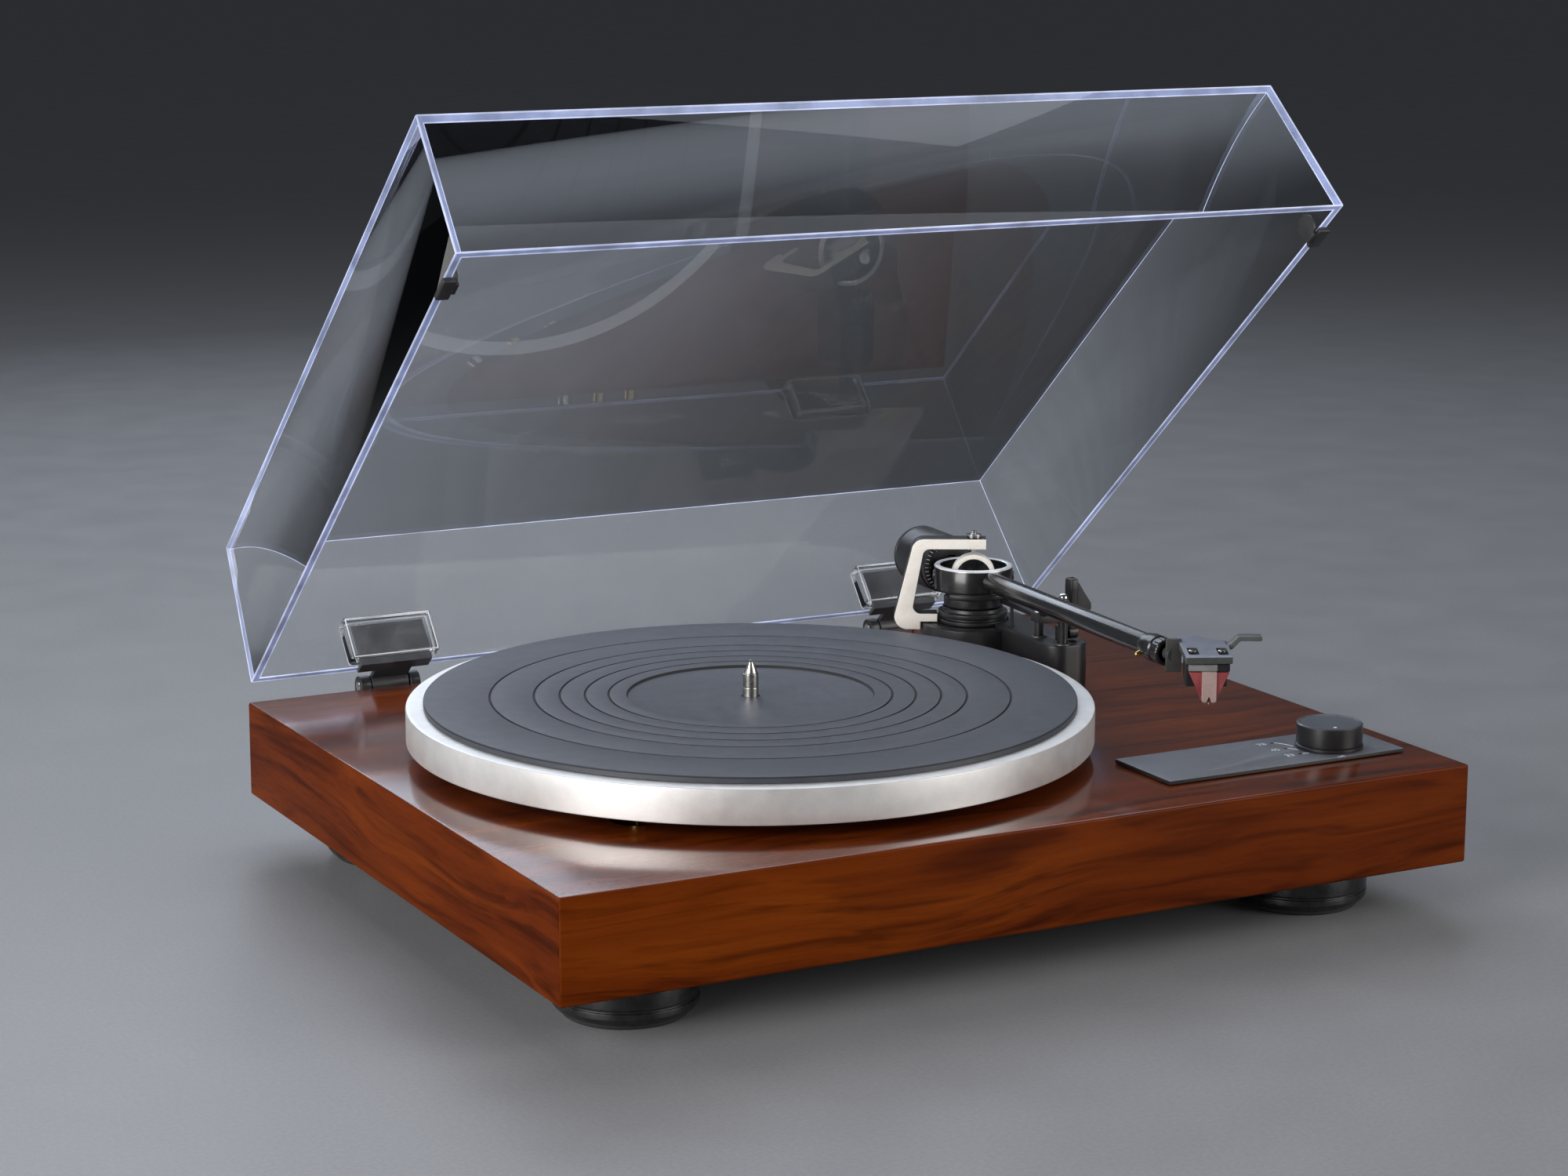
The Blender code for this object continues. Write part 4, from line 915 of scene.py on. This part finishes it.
def make_rest_and_lift():
    x, y = 70.6, 11.2
    post = [(0, 46.6)] + arc(0, 44.2, 2.4, 78, 0, 8) + [(2.4, 13.5), (0, 13.5)]
    post = lathe(post, 48, 0, ((44.3, 50, 1),))
    show("rest_post", moved(post, shift(x, y)), STAND, "deck", "black_gloss chrome", slot="steel")
    hook = [(-4, 38.5), (-4, 34), (0, 33.6), (12.5, 33.6), (12.5, 44), (6.2, 44), (6.2, 38.5), (5.2, 37.4),
            (-2, 37.2), (-2.8, 38.5)]
    hook = moved(plate([soften(hook, 0.7, 3, True)], 8.2, 0.4), shift(x, 0) @ STAND_YZ)
    show("rest_cradle", hook, STAND, "deck", "black_satin", "arm_rest", slot="steel")

    sweep = soften(arc(0, 0, 23.4, -58, 30, 28) + arc(0, 0, 20.6, 30, -58, 28), 0.6, 2, True)
    bar = moved(plate([sweep], 2.6, 0.6), shift(0, 0, 35.9))
    rail = block((15, 6.7, 31.2), (61, 10.2, 33.6), 0.5, 3)
    riser = block((18.2, 7.4, 32), (21.4, 9.8, 36.9), 0.4, 2)
    show("lift_bar", merged(bar, rail, riser), STAND, "lift_platform", "black_satin", "lift_platform")
    piston = moved(rod(2.1, 33, 12, 40, 0.2), shift(50.9, 9.2))
    guide = moved(rod(0.9, 32.5, 14, 24), shift(26, 7.7))
    show("lift_rods", merged(piston, guide), STAND, "lift_platform", "black_satin", slot="steel")
    screw = moved(lathe([(0, 0.9), (1, 0.9), (2.1, 0.4), (2.1, -0.3), (0, -0.3)], 32), shift(50.9, 8.5, 33.6))
    show("lift_screw", screw, STAND, "lift_platform", "chrome", slot="steel")

    lever_axis = STAND @ shift(63, 0, 25.6)
    hub = moved(rod(3.2, 22.5, 17.5, 40, 0.5), ALONG_Y)
    blade = [(-2.2, 0), (2.2, 0), (3.4, 21.5), (3, 25.9), (-2.6, 26.4), (-3, 21.5)]
    blade = moved(plate([soften(blade, 1.2, 4, True)], 4.2, 0.6), shift(0, 19.8) @ STAND_XZ)
    fin = [(0, 6), (6.6, 8), (8.6, 10.8), (8.4, 13.5), (4, 20), (1.8, 23.6), (0, 25), (-1.2, 25), (-1.2, 6)]
    fin = moved(plate([soften(fin, 1.2, 3, True)], 3, 0.5), shift(0, 21.5) @ STAND_YZ)
    pin = moved(rod(1.5, 19, 12.5, 24), ALONG_Y)
    show("cue_handle", merged(hub, blade, fin, pin), lever_axis, "cue_lever", "black_satin", "cue_lever")


# ---- tonearm

def make_gimbal():
    foot = 34.3 - ARM_Z
    outer = [(10.7, foot)] + arc(0, 0, 10.7, 0, 180, 32) + [(-10.7, foot)]
    inner = [(8.4, foot + 2.4)] + arc(0, 0, 8.4, 0, 180, 32) + [(-8.4, foot + 2.4)]
    yoke = moved(plate([outer, inner], 7, 0.3), STAND_YZ)
    for face in yoke.polygons:
        face.material_index = 0 if abs(face.normal.x) > 0.3 or face.normal.z > 0.5 else 1
    pins = [moved(rod(1.5, 6.4, 0, 24), shift(0, start) @ ALONG_Y) for start in (-15.9, 9.5)]
    pins.append(moved(rod(1.5, 5, 0, 24), shift(0, 0, 30.5 - ARM_Z)))
    yoke = merged(yoke, *[(pin, 2) for pin in pins])
    show("yoke_arch", yoke, GIMBAL, "yoke", "cream cream chrome", "gimbal_yoke")

    low, top, r = 36.8 - ARM_Z, 48.6 - ARM_Z, 19.15
    profile = [(16.3, top - 0.5), (16.8, top), (18.3, top), (18.8, top - 0.3), (r, top - 0.9), (r, low + 0.5),
               (r - 0.5, low), (16.3, low)]
    ring = lathe(profile, 160, 0, ((top - 0.7, top + 1, 1),))
    show("ring_body", ring, ARM, "arm", "black_gloss silver", "gimbal_ring")
    head = [(0, 0.5), (0.8, 0.3), (2.1, 0.6), (2.4, 0), (2.4, -0.6), (0, -0.6)]
    screws = [moved(lathe(head, 32), spin_z(angle - OFFSET_ANGLE) @ shift(r, 0) @ ALONG_X)
              for angle in (pi / 2, -pi / 2)]
    show("ring_screws", merged(*screws), ARM, "arm", "leaf", slot="steel")


def make_arm():
    show("tube_gloss", sleeve(3.2, 4.9, 167.7, 19.45, 64, 0.2), ARM @ ALONG_X, "arm", "tube", "arm_tube")
    profile = [(4.6, 186), (5.8, 186), (6.2, 185.5), (6.2, 181.5), (5.6, 180.8), (5.6, 179.5), (6.2, 178.8),
               (6.2, 173.5), (5.6, 172.8), (5.6, 169.5), (5.2, 168), (4.6, 168)]
    collar = knurled(lathe(profile, 96), 0.972, lambda vert: vert.co.xy.length > 6.1 and vert.index % 4 < 2
                     and not 173 < vert.co.z < 174 and not 178 < vert.co.z < 179.3)
    show("collar_knurled", collar, ARM @ ALONG_X, "locking_collar", "black_gloss", "locking_collar")
    peg = [(0, 3), (0.8, 3), (1.1, 2.6), (1.1, 0), (0, 0)]
    peg = moved(lathe(peg, 24), shift(171.2, -5, -2.2) @ Matrix.Rotation(radians(115), 4, "X"))
    show("collar_peg", peg, ARM, "locking_collar", "brass", slot="brass")

    shaft = [(0, -19.45), (4.4, -19.45), (4.4, -22.5)]
    for k in range(44):
        z = -22.5 - 0.97 * k
        shaft += [(4.4, z - 0.3), (4.1, z - 0.6), (4.4, z - 0.9)]
    shaft += [(4, -66), (0, -66)]
    show("shaft_threaded", lathe(shaft, 40), ARM @ ALONG_X, "arm", "leaf", "weight_shaft")
    show("bushing_ring", sleeve(4.8, 9, -30, -56, 48, 0.3), ARM @ ALONG_X, "weight_slider", "rubber",
         "weight_bushing")
    profile = [(9.8, -29.9), (14.5, -29.9), (14.5, -56), (14.1, -56.4), (14.1, -57.2), (14.5, -57.6),
               (13.8, -60), (9.8, -60)]
    show("weight_turned", lathe(profile, 128, 0.4), ARM @ ALONG_X, "counterweight", "black_satin",
         "counterweight")
    profile = [(5.6, -24), (11.6, -24), (14, -25.6), (14, -29.5), (5.6, -29.5)]
    show("force_ring", lathe(profile, 120, 0.2), ARM @ ALONG_X, "force_dial", "black_satin", "force_dial")
    ticks = []
    for k in range(40):
        a = 2 * pi * k / 40
        inner, outer = (11.2, 13.6) if k % 5 == 0 else (12.2, 13.6)
        ticks.append([(r * cos(a), r * sin(a), -23.98 - 1.6 * max(0, r - 11.6) / 2.4)
                      for r in (inner, outer)])
    show("force_scale", bars(ticks, 0.14, 6), ARM @ ALONG_X, "force_dial", "white", slot="black_plastic")


def show_on_shell(name, mesh, looks, node=None, slot=None):
    """Shows a piece that is drawn at its height above the deck."""
    show(name, moved(mesh, shift(0, 0, -ARM_Z)), SHELL, "arm", looks, node, slot)


def make_headshell():
    on_tube = shift(0, 0, ARM_Z) @ SHELL.inverted() @ ARM @ ALONG_X
    top, low = 48.9, 45.8
    outline = [(3.2, -10.5), (1.7, 10), (-32.2, 11.1), (-33.1, 4.3), (-39.1, 0.5), (-43.8, -3.2),
               (-42.2, -6.9), (-39.7, -10.6)]
    shell = moved(plate([soften(outline, 0.8, 3, True)], top - low, 0.3), shift(0, 0, (top + low) / 2))
    floor = 47.2
    sides = (("near", -6.2), ("far", 6.6))
    cutters = [moved(rod(6.6, 186.2, 160), on_tube), block((-28.5, 9.8, low - 1), (-21.5, 20, top + 1), 0)]
    for name, side in sides:                        # wide above, narrow below, with round ends
        for x0, x1, half, z0 in ((-16.3, -2.7, 2.3, floor), (-14.8, -4.2, 1.4, low - 1)):
            slot = plate([rect(x0, side - half, x1, side + half, half * 0.6, 5)], top + 1 - z0, 0)
            cutters.append(moved(slot, shift(0, 0, (top + 1 + z0) / 2)))
    shell = carved(shell, *cutters)
    # Painted light: up faces take the lighter top colour as painted sheen, the sides the darker copy as painted
    # shade, the ledges in the slots black as painted shade
    for face in shell.polygons:
        up = face.normal.z > 0.3
        face.material_index = 2 if up and face.center.z < floor + 0.3 else 0 if up else 1
    tab = block((-29.4, -16.2, 35.2), (-27.2, -9.2, 50.2), 0.4, 3)
    neck = moved(rod(3, 191.1, 186.3, 48, 0.3), on_tube)
    show_on_shell("shell_plate", merged(shell, (tab, 3), (neck, 1)), "shell shell_dark black_soft tab",
                  "headshell")
    for name, side in sides:
        head = [(0, 49.4), (1.5, 49.4), (1.9, 49), (1.9, floor + 0.3), (1, floor + 0.3), (1, low + 0.4),
                (0, low + 0.4)]
        cross = moved(block((-3, -0.32, 48.8), (3, 0.32, 51), 0), spin_z(radians(50)))
        mesh = moved(carved(lathe(head, 48, 0.1), cross), shift(-10.3, side))
        show_on_shell("shell_screw_" + name, mesh, "chrome", "cartridge_screw_" + name)

    lift = [(10.1, 46.8), (10.1, 48.9), (11.3, 49.1), (15, 52.7), (25.6, 52.7, 0.9), (25.6, 50.6, 0.9),
            (16, 50.6), (12.4, 46.8)]
    handle = moved(plate([soften(lift, 1.2, 5, True)], 6.2, 0.4), shift(-25, 0) @ STAND_YZ)
    show_on_shell("finger_blade", handle, "lift", "finger_lift")


def make_cartridge():
    top = 45.5
    side = [(-23, top), (0.6, top), (0.6, 42.1), (-9.8, 42.1), (-9.8, 33), (-19, 33), (-23, 37)]
    body = moved(plate([soften(side, 0.4, 2, True)], 18, 0.4), STAND_XZ)
    show_on_shell("cartridge_case", body, "black_satin", "cartridge_body")
    strip = block((-0.6, -9, 42.3), (1.2, 3.5, 45.3), 0.4, 2)
    show_on_shell("cartridge_strip", strip, "pale_grey", slot="cartridge")

    # Stylus block: red sides that narrow downwards round a pale middle with a notch at its foot
    high, low, tip = 41.8, 29.2, 27.5

    def wedge(point):
        t = (high - point.z) / (high - low)
        point.y *= 1 - 0.63 * t
        point.x = point.x * (1 - 0.35 * t) - 0.6 * t
        return point

    red = block((-9.4, -8.8, low), (1.4, 8.8, high), 0.4, 3, wedge)
    show_on_shell("stylus_grip", red, "red", "stylus_assembly")
    face = [(-3.2, high + 0.4), (-3.2, low), (-2.4, low - 0.6), (-1.1, low - 0.6), (0, low + 2.2),
            (1.1, low - 0.6), (2.4, low - 0.6), (3.2, low), (3.2, high + 0.4)]
    front = moved(plate([soften(face, 0.3, 2, True)], 4, 0.3), shift(0.2, 0) @ STAND_YZ)
    show_on_shell("stylus_front", front, "pink", slot="stylus_red")
    cantilever = bars([((-5, 0, low + 1.6), (0, 0, tip + 0.6)), ((0, 0, tip + 0.8), (0, 0, tip))], 0.28, 10)
    show_on_shell("stylus_cantilever", cantilever, "chrome", slot="steel")


# ---- stage

def aim(thing, target):
    way = Vector(target) - thing.location
    thing.rotation_euler = way.to_track_quat("-Z", "Y").to_euler()


def light(name, place, target, size, power, colour=(1, 1, 1)):
    lamp = bpy.data.lights.new(name, "AREA")
    lamp.shape = "RECTANGLE"
    lamp.size, lamp.size_y = size
    lamp.energy = power
    lamp.color = colour
    thing = hold(lamp, name)
    thing.location = place
    aim(thing, target)
    thing.visible_camera = False
    thing.visible_transmission = False
    return thing


def make_stage():
    mesh = block((-30, -30, -0.02), (30, 30, 0), 0)
    mesh.materials.append(LOOKS["floor"])
    hold(mesh, "floor")

    light("key_left", (-1.60, -0.60, 0.65), (0, -0.05, 0.05), (1.1, 0.9), 29, (1, 0.98, 0.96))
    light("key_right", (1.05, -1.35, 0.65), (0, -0.05, 0.05), (1, 0.9), 16, (1, 0.97, 0.93))
    top = light("top", (0.30, 0.85, 1.45), (0, 0, 0), (1.9, 1.5), 14, (0.84, 0.90, 1))
    behind = light("behind", (0.10, 1.42, 0.84), (0.13, 0, 0.09), (0.80, 0.45), 2.6, (0.80, 0.87, 1))
    for lamp in (top, behind):                      # the gloss under the open lid sees these through it
        lamp.visible_transmission = True
    light("back", (0.30, 1.7, 0.62), (0, 0, 0.08), (1.1, 0.6), 0.9, (0.86, 0.90, 1))
    light("back_left", (-1.35, 0.85, 0.35), (-0.1, 0, 0.08), (0.8, 0.5), 3)

    world = bpy.data.worlds.new("studio")
    scene.world = world
    world.use_nodes = True
    tune(world.node_tree.nodes["Background"], Color=(0.60, 0.65, 0.72, 1), Strength=0.09)

    camera = bpy.data.cameras.new("camera")
    camera.lens = 80.52
    camera.sensor_width = 36
    camera.shift_x, camera.shift_y = -0.0036, -0.0111
    camera.clip_start, camera.clip_end = 0.05, 60
    thing = hold(camera, "camera")
    place = DECK @ Vector((-739.76, -1171.03, 389.33)) / 1000
    turn = spin_z(radians(-27.941)) @ Matrix.Rotation(radians(78.422), 4, "X") @ spin_z(radians(0.157))
    thing.matrix_world = MOVE(place) @ turn
    scene.camera = thing
    scene.view_settings.view_transform = "Standard"


make_plinth()
make_feet()
make_platter()
make_drive()
make_controls()
make_rear()
make_lid()
for hinge_side in ("left", "right"):
    make_hinge(hinge_side)
make_stand()
make_rest_and_lift()
make_gimbal()
make_arm()
make_headshell()
make_cartridge()
make_stage()
